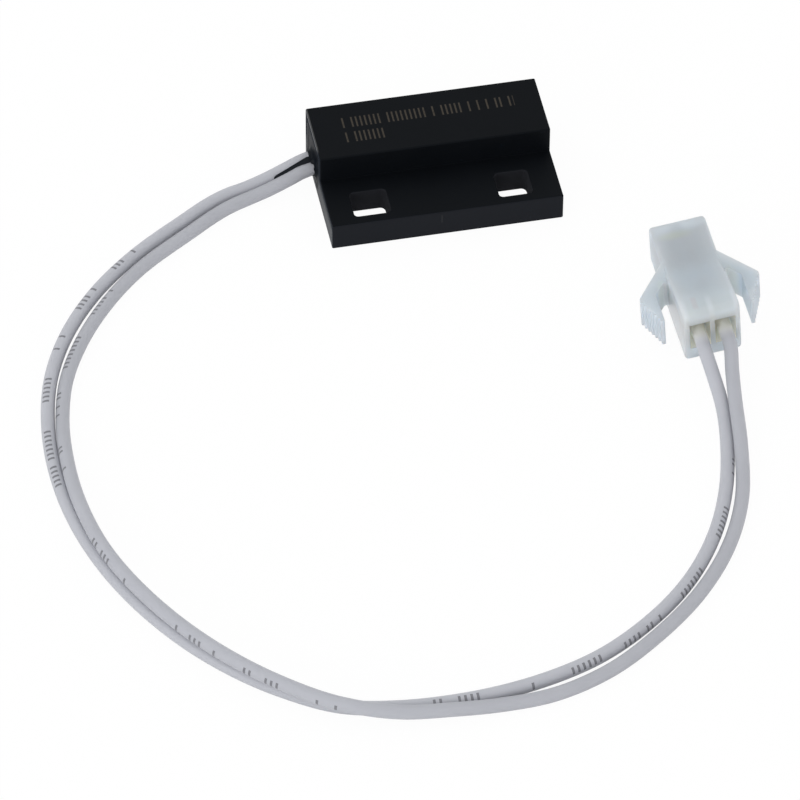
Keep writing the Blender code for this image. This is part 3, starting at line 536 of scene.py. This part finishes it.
resin_web = make_web()
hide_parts("potting")
print("web length in mm:", WEB_LENGTH)

# %% [markdown]
# The plug housing is moulded in milky nylon. Its body is a block whose back is taller than its
# nose, and two snap arms stand off its sides. Each arm is a strut out to a corner and a flank
# that comes back in small steps, which a finger presses and which catch in the mating part. The
# two cavities, the pin entries and the lance windows are cut last.

# %% Plug housing
PLUG_WIDTH = 5.6
PLUG_LENGTH = 13.4
NOSE_HEIGHT = 4.9
REAR_HEIGHT = 6.9
REAR_FALL = 0.15
RAMP = (2.3, 7.8)
RAMP_BLEND = 9.0
REAR_ROUND = 0.85
PLUG_EDGE = 0.36
ARM_BOTTOM = 1.3
ARM_ROOT = 8.6
ARM_REACH = 3.1
ARM_CORNER = 5.0
ARM_TIP = 1.75
ARM_TIP_WIDTH = 0.18
ARM_GAP = 1.45
ARM_STRUT = 1.2
ARM_STEPS = 7
ARM_SINK = 0.4
ARM_SEAT = 0.03
ARM_EDGE = 0.05
ARM_CORNER_ROUND = 0.4
ARM_TIP_ROUND = 0.07
ARM_STEP_ROUNDS = [0.09, 0.02]
CROTCH = 0.3
CAVITY_WIDTH = 2.05
CAVITY_FLOOR = 1.9
CAVITY_TALL = 5.4
CAVITY_LOW_ROOF = 4.2
TALL_DEPTH = 4.65
PLUG_CAVITY_EDGE = 0.04
NOSE_WALL = 1.0
PIN_ENTRY = 1.3
PIN_HEIGHT = 3.05
PIN_CORNER = 0.15
PIN_RIM = 0.12
PIN_OVERLAP = 0.3
LANCE_WINDOW = ((-0.6, 6.05), (0.6, 7.7))
LANCE_CORNER = 0.05
LANCE_HEIGHTS = (-0.4, 2.2)


def arm_outline(side):
    """The strut's outer line runs from the body to the corner, and its inner line lies one
    strut's thickness below it. Steps of equal size lead from the corner to the tip."""
    wall = PLUG_WIDTH / 2
    slope = (ARM_ROOT - ARM_CORNER) / ARM_REACH
    inner = wall + ARM_GAP
    drop = ARM_STRUT * math.hypot(1, slope)
    corner = (wall + ARM_REACH, ARM_CORNER)
    step_in = (corner[0] - inner - ARM_TIP_WIDTH) / ARM_STEPS
    step_back = (ARM_CORNER - ARM_TIP) / ARM_STEPS
    corners = [(wall - ARM_SINK, ARM_ROOT + slope * ARM_SINK), corner]
    radii = [ARM_EDGE, ARM_CORNER_ROUND]
    for k in range(ARM_STEPS):
        x = corner[0] - k * step_in
        y = ARM_CORNER - (k + 1) * step_back
        corners += [(x, y), (x - step_in, y)]
        radii += ARM_STEP_ROUNDS
    corners[-1] = (inner, ARM_TIP)
    radii[-1] = ARM_TIP_ROUND
    crotch = [ARM_ROOT - slope * (x - wall) - drop for x in (inner, wall)]
    foot = crotch[1] - 2 * CROTCH - ARM_SINK
    seat = wall - ARM_SEAT
    corners += [(inner, crotch[0]), (seat, crotch[1]), (seat, foot), (wall - ARM_SINK, foot)]
    radii += [CROTCH, CROTCH, ARM_EDGE, ARM_EDGE]
    outline = [(side * x, y) for x, y in corners]
    if side > 0:
        outline, radii = outline[::-1], radii[::-1]
    return outline, radii


def make_plug():
    """The side outline is pushed across for the body, the arms are joined on and the openings
    cut. Everything is built upright and laid in place at the end."""
    wall = PLUG_WIDTH / 2
    section = [
        (0, 0), (PLUG_LENGTH, 0), (PLUG_LENGTH, NOSE_HEIGHT), (RAMP[1], NOSE_HEIGHT),
        (RAMP[0], REAR_HEIGHT - REAR_FALL), (0, REAR_HEIGHT),
    ]
    radii = [2 * PLUG_EDGE, 1.1 * PLUG_EDGE, 0.5, RAMP_BLEND, RAMP_BLEND / 2, REAR_ROUND]
    plug = skin("plug", block(section, radii, -wall, wall, PLUG_EDGE, "yzx"))
    for side in (-1, 1):
        outline, arm_radii = arm_outline(side)
        combine(plug, block(outline, arm_radii, ARM_BOTTOM, NOSE_HEIGHT, ARM_EDGE), "UNION")
    far = PLUG_LENGTH - NOSE_WALL
    cavity = [
        (-CUTTER_REACH, CAVITY_FLOOR), (far, CAVITY_FLOOR), (far, CAVITY_LOW_ROOF),
        (TALL_DEPTH, CAVITY_LOW_ROOF), (TALL_DEPTH, CAVITY_TALL), (-CUTTER_REACH, CAVITY_TALL),
    ]
    half, entry, edge = CAVITY_WIDTH / 2, PIN_ENTRY / 2, PLUG_CAVITY_EDGE
    for side in (-1, 1):
        x = side * PITCH / 2
        combine(plug, block(cavity, edge, x - half, x + half, edge, "yzx"))
        hole = rectangle((x - entry, PIN_HEIGHT - entry), (x + entry, PIN_HEIGHT + entry))
        combine(plug, opening(hole, PIN_CORNER, far - PIN_OVERLAP, PLUG_LENGTH, PIN_RIM, "xzy"))
        window = rectangle(*((x + across, y) for across, y in LANCE_WINDOW))
        combine(plug, block(window, LANCE_CORNER, *LANCE_HEIGHTS, edge))
    grid = np.empty(len(plug.data.vertices) * 3)
    plug.data.vertices.foreach_get("co", grid)
    laid = lay_in_plug(grid.reshape(-1, 3) / MM) * MM
    plug.data.vertices.foreach_set("co", laid.ravel())
    plug.data.update()
    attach(plug, "root")
    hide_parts("connector_housing")
    return soften(plug)


plug = make_plug()
print("plug faces:", len(plug.data.polygons))

# %% [markdown]
# Both leads are free cords with the plug on their far end. Each takes the place of its plain tube
# in the imported model, which is hidden, and the point where it leaves the resin is printed.

# %% The leads take the place of the plain tubes
POINTS_NEAR_SENSOR = 40
for wire, path, node in ((lead_a, path_a, "wire_a"), (lead_b, path_b, "wire_b")):
    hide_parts(node)
    contact, core = node.replace("wire", "contact"), node.replace("wire", "conductor")
    on_it = [plug, nodes[contact], nodes[core + "_connector_end"]]
    exit_point = path[np.argmin(np.abs(path[:POINTS_NEAR_SENSOR, 0] + HALF_LENGTH))] * MM
    path * MM
    print(node, "leaves the resin at", [round(c / MM, 1) for c in exit_point], "mm")

# %% [markdown]
# A finish is worked out per point from the point's own place, as formulas of noise and masks.
# To write those formulas as formulas, one small class wraps a node's output, and adding or
# multiplying two of them makes the Math node. A second class holds one material and adds every
# other kind of node by a single method.

# %% Formulas for materials


class Signal:
    """One output of a material's nodes. Arithmetic on it adds Math nodes."""

    def __init__(self, finish, socket):
        self.finish = finish
        self.socket = socket

    def math(self, operation, *values):
        return self.finish.math(operation, *values)

    def __add__(self, other):
        return self.math("ADD", self, other)

    def __sub__(self, other):
        return self.math("SUBTRACT", self, other)

    def __rsub__(self, other):
        return self.math("SUBTRACT", other, self)

    def __mul__(self, other):
        return self.math("MULTIPLY", self, other)

    def __truediv__(self, other):
        return self.math("DIVIDE", self, other)

    def __abs__(self):
        return self.math("ABSOLUTE", self)

    def __lt__(self, other):
        return self.math("LESS_THAN", self, other)

    def __gt__(self, other):
        return self.math("GREATER_THAN", self, other)

    def __mod__(self, other):
        return self.math("FLOORED_MODULO", self, other)

    __radd__ = __add__
    __rmul__ = __mul__


class Finish:
    """One material. Its shader is the Principled BSDF that every new material starts with."""

    def __init__(self, name, **constants):
        self.material = bpy.data.materials.new(name)
        self.material.use_nodes = True
        self.tree = self.material.node_tree
        self.shader = self.tree.nodes["Principled BSDF"]
        self.set(**constants)

    def set(self, **values):
        for name, value in values.items():
            label = name.replace("_", " ").title().replace("Ior", "IOR")
            self.feed(self.shader.inputs[label], value)

    def feed(self, socket, value):
        if isinstance(value, Signal):
            self.tree.links.new(value.socket, socket)
        else:
            socket.default_value = value

    def node(self, kind, settings, sockets, output=0):
        made = self.tree.nodes.new(kind)
        for key, value in settings.items():
            setattr(made, key, value)
        for key, value in sockets.items():
            self.feed(made.inputs[key], value)
        return Signal(self, made.outputs[output])

    def math(self, operation, *values):
        return self.node("ShaderNodeMath", {"operation": operation}, dict(enumerate(values)))

    def place(self, location=(0, 0, 0), turn=(0, 0, 0)):
        """Object coordinates in millimetres, centred and turned as given, also in millimetres."""
        raw = self.node("ShaderNodeTexCoord", {}, {}, "Object")
        return self.node("ShaderNodeMapping", {"vector_type": "TEXTURE"}, {
            "Vector": raw, "Location": [v * MM for v in location], "Rotation": turn,
            "Scale": (MM, MM, MM),
        })

    def axis(self, vector, name):
        return self.node("ShaderNodeSeparateXYZ", {}, {0: vector}, name)

    def noise(self, vector, scale, detail=3.0, roughness=0.5):
        return self.node("ShaderNodeTexNoise", {}, {
            "Vector": vector, "Scale": scale, "Detail": detail, "Roughness": roughness,
        })

    def ease(self, value, low, high):
        """0 below low, 1 above high and a smooth step between them."""
        return self.node("ShaderNodeMapRange", {"interpolation_type": "SMOOTHSTEP"}, {
            "Value": value, "From Min": low, "From Max": high,
        })

    def mix(self, share, first, second):
        """The first colour where the share is 0, the second where it is 1. The sockets go by
        number, because several share a name."""
        sockets = {0: share, 6: first, 7: second}
        return self.node("ShaderNodeMix", {"data_type": "RGBA"}, sockets, 2)

    def bump(self, height, distance, strength=1.0):
        self.set(normal=self.node("ShaderNodeBump", {}, {
            "Strength": strength, "Distance": distance * MM, "Height": height,
        }))

    def put_on(self, *pieces):
        for piece in pieces:
            piece.data.materials.clear()
            piece.data.materials.append(self.material)


# %% [markdown]
# The housing is black plastic with a fine satin grain. What light it sends back is almost all
# reflection: the top mirrors the sky faintly, the flange's front mirrors the floor, and the face
# above the flange sees only more black. So the colour itself is very dark, and the sheen is kept
# low and slightly uneven. Part of that reflection and light is painted into the colour: the
# flange's front, the end where the leads leave and the slots' walls are painted lighter. Two faint
# rows of plain bars lie on the top.

# %% Black moulded plastic
MARK_ROWS = [(-8.7, 8.8, 4.2), (-8.6, -4.3, 2.15)]
MARK_HEIGHT = 1.4
MARK_PITCH = 0.45
MARK_BAR = 0.17
MARK_START = -40
MARK_GAPS = 0.3
SCAR_PLACE = (-0.6, 2.1)
SCAR_HALF = (0.08, 0.5)
HAIR = 0.04
FACE_REACH = 0.4


def marked(finish, place):
    """1 on the bars: inside a row's box, within half a bar of the middle of a pitch, and not
    where a random number for that pitch leaves a gap."""
    x, y, z = (finish.axis(place, name) for name in "XYZ")
    top = z > HEIGHT - HAIR / 2
    cell = (x - MARK_START) % MARK_PITCH
    number = finish.math("FLOOR", (x - MARK_START) / MARK_PITCH)
    chance = finish.node("ShaderNodeTexWhiteNoise", {"noise_dimensions": "1D"}, {"W": number})
    bar = (abs(cell - MARK_PITCH / 2) < MARK_BAR / 2) * (chance > MARK_GAPS)
    rows = 0
    for left, right, middle in MARK_ROWS:
        inside = abs(x - (left + right) / 2) < (right - left) / 2
        rows = rows + inside * (abs(y - middle) < MARK_HEIGHT / 2)
    return rows * bar * top


def slot_walls(finish, place):
    """1 inside either slot, a hair beyond its walls and short of its rims."""
    x, y, z = (finish.axis(place, name) for name in "XYZ")
    inside = 0
    for middle, wide in SLOTS:
        inside = inside + (abs(x - middle) < wide / 2 + HAIR)
    front, back = SLOT_FRONT - HALF_WIDTH, SLOT_BACK + SLOT_LEAN - HALF_WIDTH
    inside = inside * (y > front - HAIR) * (y < back + HAIR)
    return inside * (z < FLANGE - FACE_REACH * SLOT_RIM)


def gate_scar(finish, place):
    """1 on a short upright line on the flange's front face, where the mould was filled."""
    x, y, z = (finish.axis(place, name) for name in "XYZ")
    line = (abs(x - SCAR_PLACE[0]) < SCAR_HALF[0]) * (abs(z - SCAR_PLACE[1]) < SCAR_HALF[1])
    return line * (y < FACE_REACH * EDGE - HALF_WIDTH)


def black_plastic():
    """Each face has its own painted shade: the flange's front is painted lighter as a painted
    reflection of the floor, the end where the leads leave is painted lighter as a painted
    reflection and its upper edge shines through a coat, and the slots' walls are painted lighter
    with depth, as painted light coming up through them from the white below."""
    finish = Finish(
        "black_plastic", specular_ior_level=0.05, specular_tint=(0.85, 0.93, 1.0, 1),
        coat_roughness=0.15, coat_ior=1.55,
    )
    place = finish.place()
    broad = finish.noise(place, 0.25, 4)
    grain = finish.noise(place, 9.0, 2)
    ink = marked(finish, place) * finish.ease(grain, 0.2, 0.5)
    scar = gate_scar(finish, place)
    x, y, z = (finish.axis(place, name) for name in "XYZ")
    body = finish.mix(broad, (0.0028, 0.0034, 0.0044, 1), (0.0044, 0.0054, 0.0070, 1))
    front = y < FACE_REACH * EDGE - HALF_WIDTH
    end = x < FACE_REACH * EDGE - HALF_LENGTH
    upper = finish.ease(z, 1.8, 3.4)
    end_edge = (x < EDGE - HALF_LENGTH) * (z > HEIGHT - EDGE) * finish.ease(y, 0.3, 1.3)
    in_slot = slot_walls(finish, place)
    # painted light: the slots' walls are painted lighter the deeper they go, standing in for light
    # coming up from the white below
    high = finish.ease(z, 0.0, FLANGE)
    slot_painted_light = finish.mix(high, (0.052, 0.054, 0.062, 1), (0.020, 0.021, 0.025, 1))
    # painted reflection: the lead end is painted a lighter slate, lightest towards the bottom,
    # standing in for the grazing reflection of the white around
    end_painted_reflection = finish.mix(upper, (0.025, 0.029, 0.035, 1), (0.013, 0.016, 0.022, 1))
    body = finish.mix(in_slot, body, slot_painted_light)
    # painted reflection: the flange's front face is painted lighter, standing in for the floor it
    # mirrors
    body = finish.mix(front, body, (0.0110, 0.0121, 0.0152, 1))
    body = finish.mix(scar, body, (0.021, 0.022, 0.025, 1))
    body = finish.mix(end, body, end_painted_reflection)
    matt = finish.math("MAXIMUM", in_slot, end * upper)
    finish.set(
        base_color=finish.mix(ink * 0.7, body, (0.075, 0.064, 0.050, 1)),
        roughness=0.40 + 0.12 * broad + 0.06 * grain + 0.42 * matt,
        coat_weight=end_edge + 0.02 * end * upper + 0.08 * end * (1 - upper),
    )
    finish.bump(grain + 6 * scar, 0.004)
    return finish


black_plastic().put_on(housing)
print("rows of bars:", len(MARK_ROWS))

# %% [markdown]
# Cast resin sets with a skin like wet paint. It is as black as the housing but much glossier,
# with slow waves where it shrank.

# %% Potting resin


def black_resin():
    """The gloss is a thin coat: strong on the collars and web, which stand out of the end face,
    and along the cavity's wall, and nearly none on the flat face between them."""
    finish = Finish("black_resin", specular_ior_level=0.02, coat_roughness=0.14, coat_ior=1.5)
    place = finish.place()
    x, y, z = (finish.axis(place, name) for name in "XYZ")
    half = [(high - low) / 2 for low, high in zip(CAVITY_LOW, CAVITY_HIGH)]
    from_wall_y = half[0] - abs(y - (CAVITY_LOW[0] + half[0]))
    from_wall_z = half[1] - abs(z - (CAVITY_LOW[1] + half[1]))
    foot = finish.math("MINIMUM", from_wall_y, from_wall_z) < 0.14
    raised = x < -HALF_LENGTH - HAIR
    waves = finish.noise(place, 0.9, 2)
    finish.set(
        base_color=finish.mix(waves, (0.0040, 0.0055, 0.0080, 1), (0.0070, 0.0095, 0.0135, 1)),
        roughness=0.35 + 0.2 * waves,
        coat_weight=0.02 + 0.8 * foot + 0.09 * raised,
    )
    finish.bump(waves, 0.05)
    return finish


black_resin().put_on(resin_face, resin_web)
print("materials so far:", len(bpy.data.materials))

# %% [markdown]
# The leads are covered in pale bluish-grey PVC, smooth but not shiny, and some of the light gets
# into it. Inside the plug their colour is painted lighter and warmer, painted light that stands in
# for the light coming through the milky nylon. Lead B is painted a little darker than lead A, a
# painted shade, though both are the same PVC. Along them run groups of plain grey strokes, each
# group with its start and end along the lead in millimetres and its place round it as a share of a
# turn, counted from the side that faces the front and up. Only whole strokes are drawn, and a
# random number leaves some of them out.

# %% PVC insulation
PRINT_A = [
    (21.8, 26.0, 0.12), (29.0, 33.0, 0.10), (35.9, 38.5, 0.08), (41.3, 45.4, 0.05),
    (48.5, 56.3, 0.02), (102.4, 109.3, -0.03), (112.4, 113.6, 0.06), (117.1, 120.5, 0.04),
    (123.2, 128.5, 0.10), (131.2, 135.1, 0.10), (139.3, 143.4, 0.10), (147.2, 150.9, 0.19),
]
PRINT_B = [
    (39.8, 44.9, 0.16), (47.7, 52.0, 0.13), (54.9, 58.9, 0.14), (62.6, 66.8, 0.13),
    (70.2, 71.6, 0.01), (75.3, 78.7, 0.13), (81.3, 81.8, 0.14), (85.0, 86.0, 0.11),
    (88.8, 93.7, 0.13), (96.7, 101.2, 0.12), (104.3, 106.7, 0.15),
]
STROKE_PITCH = 0.58
STROKE_WIDTH = 0.25
STROKE_HALF_TURN = 0.085
STROKE_GAPS = 0.22
PVC_DARK = (0.435, 0.445, 0.485)
PVC_LIGHT = (0.470, 0.480, 0.522)


def pale_pvc(name, length, groups, shade):
    finish = Finish(
        name, specular_ior_level=0.3, subsurface_weight=0.4, subsurface_radius=(1, 1, 1),
        subsurface_scale=0.004,
    )
    place = finish.place()
    laid = finish.node("ShaderNodeUVMap", {"uv_map": "along"}, {})
    along = finish.axis(laid, "X") * length
    turn = finish.axis(laid, "Y")
    number = finish.math("FLOOR", along / STROKE_PITCH)
    stroke_place = (number + 0.5) * STROKE_PITCH
    inside = 0
    for start, end, middle in groups:
        lengthways = abs(stroke_place - (start + end) / 2) < (end - start) / 2
        sideways = abs((turn + (0.5 - middle)) % 1.0 - 0.5) < STROKE_HALF_TURN
        inside = inside + lengthways * sideways
    stroke = abs(along - stroke_place) < STROKE_WIDTH / 2
    chance = finish.node("ShaderNodeTexWhiteNoise", {"noise_dimensions": "1D"}, {"W": number})
    ink = inside * stroke * (chance > STROKE_GAPS)
    streak = finish.noise(place, 0.35, 3)
    dark, light = ([shade * c for c in colour] for colour in (PVC_DARK, PVC_LIGHT))
    skin_colour = finish.mix(streak, (*dark, 1), (*light, 1))
    # painted light: inside the plug the lead is painted a lighter, warmer cream, standing in for
    # light coming through the nylon
    painted_light_in_plug = finish.ease(along, length - 5.6, length - 3.3)
    skin_colour = finish.mix(painted_light_in_plug, skin_colour, (0.90, 0.90, 0.86, 1))
    finish.set(
        base_color=finish.mix(ink * 0.75, skin_colour, (0.10, 0.10, 0.11, 1)),
        roughness=0.46 + 0.12 * streak,
    )
    finish.bump(finish.noise(place, 2.2, 3), 0.006)
    return finish


# painted shade: lead B is painted a little darker than lead A, though both are the same PVC
pale_pvc("pvc_a", run_along(path_a)[-1], PRINT_A, 0.93).put_on(lead_a)
pale_pvc("pvc_b", run_along(path_b)[-1], PRINT_B, 0.855).put_on(lead_b)
print("groups of strokes:", len(PRINT_A), len(PRINT_B))

# %% [markdown]
# The plug is unfilled nylon, which lets light in and scatters it, so it looks like milky wax.
# Light that enters and comes out elsewhere is what subsurface scattering works out. More of that
# light and shade is painted into its colour: the thick middle of the top is painted darker; steep
# faces, the gaps beside the arms and the top over the cavities' walls near the rear are painted
# lighter; soft green spots of painted shade lie in the corners beside the arms and across the
# nose; and a painted shadow shows where a contact lies under the top. The cavities' walls are
# painted pale and a little yellow near the mouth, as painted light that reaches them only through
# the plastic. Each green spot has its middle, its two half widths and its turn.

# %% Milky nylon
GREEN_SPOTS = [
    ((-3.4, 5.3), (0.6, 1.4), 0.0),
    ((3.55, 5.0), (0.55, 1.9), 0.27),
    ((-0.6, 11.6), (2.0, 0.7), 0.0),
]
CONTACT_SHADOW_MIDDLE = (-1.35, 1.5)
CONTACT_SHADOW_HALF = (0.4, 1.0)


def facing(finish, axis):
    """The normal's share along one of the plug's own axes, from -1 to 1."""
    normal = finish.node("ShaderNodeTexCoord", {}, {}, "Normal")
    return finish.node("ShaderNodeVectorMath", {"operation": "DOT_PRODUCT"}, {
        0: normal, 1: tuple(plug_turn().col[axis]),
    }, "Value")


def green_spots(finish, x, y):
    """Each spot falls off smoothly from the middle of its turned ellipse, where the distance
    is sqrt(u^2 / a^2 + v^2 / b^2), to just past its rim."""
    green = 0
    for (spot_x, spot_y), (wide, long), turned in GREEN_SPOTS:
        u = (x - spot_x) * math.cos(turned) + (y - spot_y) * math.sin(turned)
        v = (y - spot_y) * math.cos(turned) - (x - spot_x) * math.sin(turned)
        apart = finish.math("SQRT", (u * u) / wide**2 + (v * v) / long**2)
        green = green + (1 - finish.ease(apart, 0.1, 1.2))
    return green


def contact_shadow_patch(finish, x, y, z):
    """A faint soft painted shadow on the top, where the crimped contact shows through the nylon.
    """
    across = 1 - finish.ease(abs(x - CONTACT_SHADOW_MIDDLE[0]) / CONTACT_SHADOW_HALF[0], 0.3, 1.0)
    along = 1 - finish.ease(abs(y - CONTACT_SHADOW_MIDDLE[1]) / CONTACT_SHADOW_HALF[1], 0.5, 1.0)
    return across * along * (z > 5.5)


def cavity_walls(from_cavity, y, z):
    """1 inside either cavity, a hair beyond its walls. The roof is higher near the rear."""
    hair = HAIR / 2
    inside = (from_cavity < CAVITY_WIDTH / 2 + hair) * (y > 0.05)
    inside = inside * (y < PLUG_LENGTH - NOSE_WALL + hair)
    roof = CAVITY_LOW_ROOF + (CAVITY_TALL - CAVITY_LOW_ROOF) * (y < TALL_DEPTH + hair)
    return inside * (z > CAVITY_FLOOR - hair) * (z < roof + hair)


def milky_nylon():
    """The middle of the top is painted darker, a painted shade for the thick nylon there, and
    steep faces are painted lighter, most of all in the gaps between the arms and the body, as
    painted light that stands in for light the nylon carries into them."""
    finish = Finish(
        "milky_nylon", specular_ior_level=0.3, subsurface_weight=1.0, transmission_weight=0.35,
        subsurface_radius=(0.9, 1.0, 1.0), subsurface_scale=0.004, ior=1.2, coat_roughness=0.25,
    )
    place = finish.place(PLUG_PLACE, plug_turn().to_euler())
    x, y, z = (finish.axis(place, name) for name in "XYZ")
    cloud = finish.noise(place, 0.30, 3)
    thin_and_painted_light = finish.mix(cloud, (0.60, 0.67, 0.73, 1), (0.65, 0.72, 0.78, 1))
    middle_painted_shade = finish.mix(cloud, (0.55, 0.64, 0.72, 1), (0.60, 0.68, 0.76, 1))
    # painted shade: the middle of the top is painted darker, standing in for the thick nylon there
    # passing less light
    middle = (1 - finish.ease(abs(x), 0.9, 3.0)) * finish.ease(y, 0.8, 4.6)
    middle = middle * (1 - finish.ease(y, 9.8, 13.2)) * finish.ease(z, 3.0, 4.6)
    # painted light: faces that stand steep in the plug's frame are painted lighter
    steep = 1 - finish.ease(facing(finish, 2), 0.2, 0.9)
    thin_and_painted_light = finish.mix(steep, thin_and_painted_light, (0.68, 0.77, 0.88, 1))
    # painted light: the faces in the gaps between the arms and the body are painted almost white,
    # cancelling the arm's shade there
    gap = (abs(x) > PLUG_WIDTH / 2 - 0.1) * (1 - finish.ease(abs(x), 3.6, 4.3))
    gap = gap * (1 - finish.ease(facing(finish, 1), 0.1, 0.5)) * finish.ease(y, -1.0, 3.5)
    gap = gap * (1 - finish.ease(y, 8.0, 9.0)) * (1 - finish.ease(z, 4.4, 5.6))
    thin_and_painted_light = finish.mix(gap * steep, thin_and_painted_light, (0.93, 0.99, 1.0, 1))
    from_cavity = abs(abs(x) - PITCH / 2)
    # painted light: the top over the walls of the cavities is painted lighter near the rear
    over_wall = finish.ease(from_cavity, 0.8, 1.2) * (1 - finish.ease(y, 1.4, 2.8)) * (z > 5.0)
    thin_and_painted_light = finish.mix(over_wall, thin_and_painted_light, (0.72, 0.79, 0.87, 1))
    milk = finish.mix(middle, thin_and_painted_light, middle_painted_shade)
    # painted shade: soft green spots in the corners beside the arms, and one across the nose
    milk = finish.mix(green_spots(finish, x, y) * 0.6, milk, (0.66, 0.76, 0.66, 1))
    # painted shadow of the contact, seen through the top
    milk = finish.mix(contact_shadow_patch(finish, x, y, z) * 0.4, milk, (0.60, 0.56, 0.60, 1))
    # painted light: the cavities' walls are painted pale, warm yellow near the mouth and bluish
    # white deeper in, standing in for light that reaches them through the plastic
    depth = finish.ease(y, 1.6, 3.6)
    wall = finish.mix(depth, (0.92, 0.89, 0.72, 1), (0.84, 0.90, 0.96, 1))
    finish.set(
        base_color=finish.mix(cavity_walls(from_cavity, y, z), milk, wall),
        roughness=0.36 + 0.12 * cloud,
        coat_weight=0.1 + 0.9 * gap * steep,
    )
    finish.bump(finish.noise(place, 2.5, 3), 0.012)
    return finish


milky_nylon().put_on(plug)
print("green spots:", len(GREEN_SPOTS))

# %% [markdown]
# The rest is metal and glass that mostly hides: tinned brass contacts deep in the plug, bared
# tinned cores, and the reed switch with its solder inside the resin. Each metal is a polished
# colour with small changes in roughness, which keep it from looking like a mirror.

# %% Metals and glass of the hidden pieces


def metal(name, dark, light, roughness):
    finish = Finish(name, metallic=1.0)
    place = finish.place()
    mottle = finish.noise(place, 1.6, 4)
    finish.set(
        base_color=finish.mix(mottle, (*dark, 1), (*light, 1)),
        roughness=roughness + 0.18 * mottle,
    )
    finish.bump(finish.noise(place, 8.0, 2), 0.003)
    return finish


def seal_glass():
    finish = Finish("seal_glass", transmission_weight=0.9, ior=1.5)
    place = finish.place()
    tint = finish.noise(place, 0.5, 2)
    finish.set(
        base_color=finish.mix(tint, (0.60, 0.72, 0.60, 1), (0.72, 0.82, 0.72, 1)),
        roughness=0.03 + 0.05 * tint,
    )
    return finish


metal("tinned_brass", (0.42, 0.40, 0.33), (0.66, 0.63, 0.53), 0.22).put_on(
    nodes["contact_a"], nodes["contact_b"])
metal("tinned_copper", (0.52, 0.45, 0.36), (0.72, 0.66, 0.58), 0.28).put_on(*[
    nodes[f"conductor_{letter}_{end}_end"] for letter in "ab" for end in ("sensor", "connector")
])
metal("nickel_iron", (0.46, 0.44, 0.41), (0.62, 0.60, 0.56), 0.24).put_on(
    nodes["reed_blade_near"], nodes["reed_blade_far"])
metal("tin_solder", (0.50, 0.51, 0.53), (0.70, 0.71, 0.73), 0.16).put_on(
    nodes["solder_near"], nodes["solder_far"])
seal_glass().put_on(nodes["reed_glass"])
print("materials in all:", len(bpy.data.materials))

# %% [markdown]
# The photograph has pure white all round and hardly a shadow. So the camera, and anything that
# mirrors or passes light, sees mostly an even white of strength 1 on the floor, with a small part
# of plain lit colour that keeps a faint shadow. For all other light the floor is plain and pale.
# The light itself comes from the whole sky, with two weak broad lamps for soft gloss.

# %% Floor, sky and lamps
FLOOR_DROP = 0.02
FLOOR_HALF = 1500
SKY_FOR_LIGHT = 0.92
FLOOR_WHITE = 0.96


def seen_directly(tree):
    """1 for rays from the camera, and for reflected or refracted ones."""
    ray = tree.nodes.new("ShaderNodeLightPath")
    seen = ray.outputs["Is Camera Ray"]
    for kind in ("Is Glossy Ray", "Is Transmission Ray"):
        either = tree.nodes.new("ShaderNodeMath")
        either.operation = "MAXIMUM"
        tree.links.new(seen, either.inputs[0])
        tree.links.new(ray.outputs[kind], either.inputs[1])
        seen = either.outputs[0]
    return seen


def make_floor():
    mesh = bpy.data.meshes.new("floor")
    half = FLOOR_HALF * MM
    corners = [(x, y, -FLOOR_DROP * MM) for x, y in rectangle((-half, -half), (half, half))]
    mesh.from_pydata(corners, [], [(0, 1, 2, 3)])
    floor = add_piece("floor", mesh)
    material = bpy.data.materials.new("white_floor")
    material.use_nodes = True
    tree = material.node_tree
    tree.nodes.clear()
    lit = tree.nodes.new("ShaderNodeBsdfDiffuse")
    lit.inputs["Color"].default_value = (0.95, 0.95, 0.95, 1)
    glow = tree.nodes.new("ShaderNodeEmission")
    share = tree.nodes.new("ShaderNodeMath")
    share.operation = "MULTIPLY"
    share.inputs[1].default_value = FLOOR_WHITE
    tree.links.new(seen_directly(tree), share.inputs[0])
    mixed = tree.nodes.new("ShaderNodeMixShader")
    tree.links.new(share.outputs[0], mixed.inputs[0])
    tree.links.new(lit.outputs[0], mixed.inputs[1])
    tree.links.new(glow.outputs[0], mixed.inputs[2])
    out = tree.nodes.new("ShaderNodeOutputMaterial")
    tree.links.new(mixed.outputs[0], out.inputs["Surface"])
    mesh.materials.append(material)


def make_sky():
    world = bpy.data.worlds.new("sky")
    world.use_nodes = True
    bpy.context.scene.world = world
    tree = world.node_tree
    sky = tree.nodes["Background"]
    sky.inputs["Color"].default_value = (1, 1, 1, 1)
    level = tree.nodes.new("ShaderNodeMapRange")
    level.inputs["To Min"].default_value = SKY_FOR_LIGHT
    level.inputs["To Max"].default_value = 1.0
    tree.links.new(seen_directly(tree), level.inputs["Value"])
    tree.links.new(level.outputs[0], sky.inputs["Strength"])


def make_lamp(name, place, size, power):
    lamp = bpy.data.lights.new(name, "AREA")
    lamp.shape = "DISK"
    lamp.size = size
    lamp.energy = power
    holder = bpy.data.objects.new(name, lamp)
    holder.location = place
    holder.rotation_euler = Vector(place).to_track_quat("Z", "Y").to_euler()
    bpy.context.scene.collection.objects.link(holder)


make_floor()
make_sky()
make_lamp("soft_lamp", (-0.35, 0.30, 0.65), 0.5, 0.3)
make_lamp("front_lamp", (-0.60, -0.60, 0.25), 0.5, 1.8)
bpy.context.scene.view_settings.view_transform = "Standard"
print("lamps:", len(bpy.data.lights))

# %% [markdown]
# Last, the scene is brought up to date.

# %% The end
bpy.context.view_layer.update()
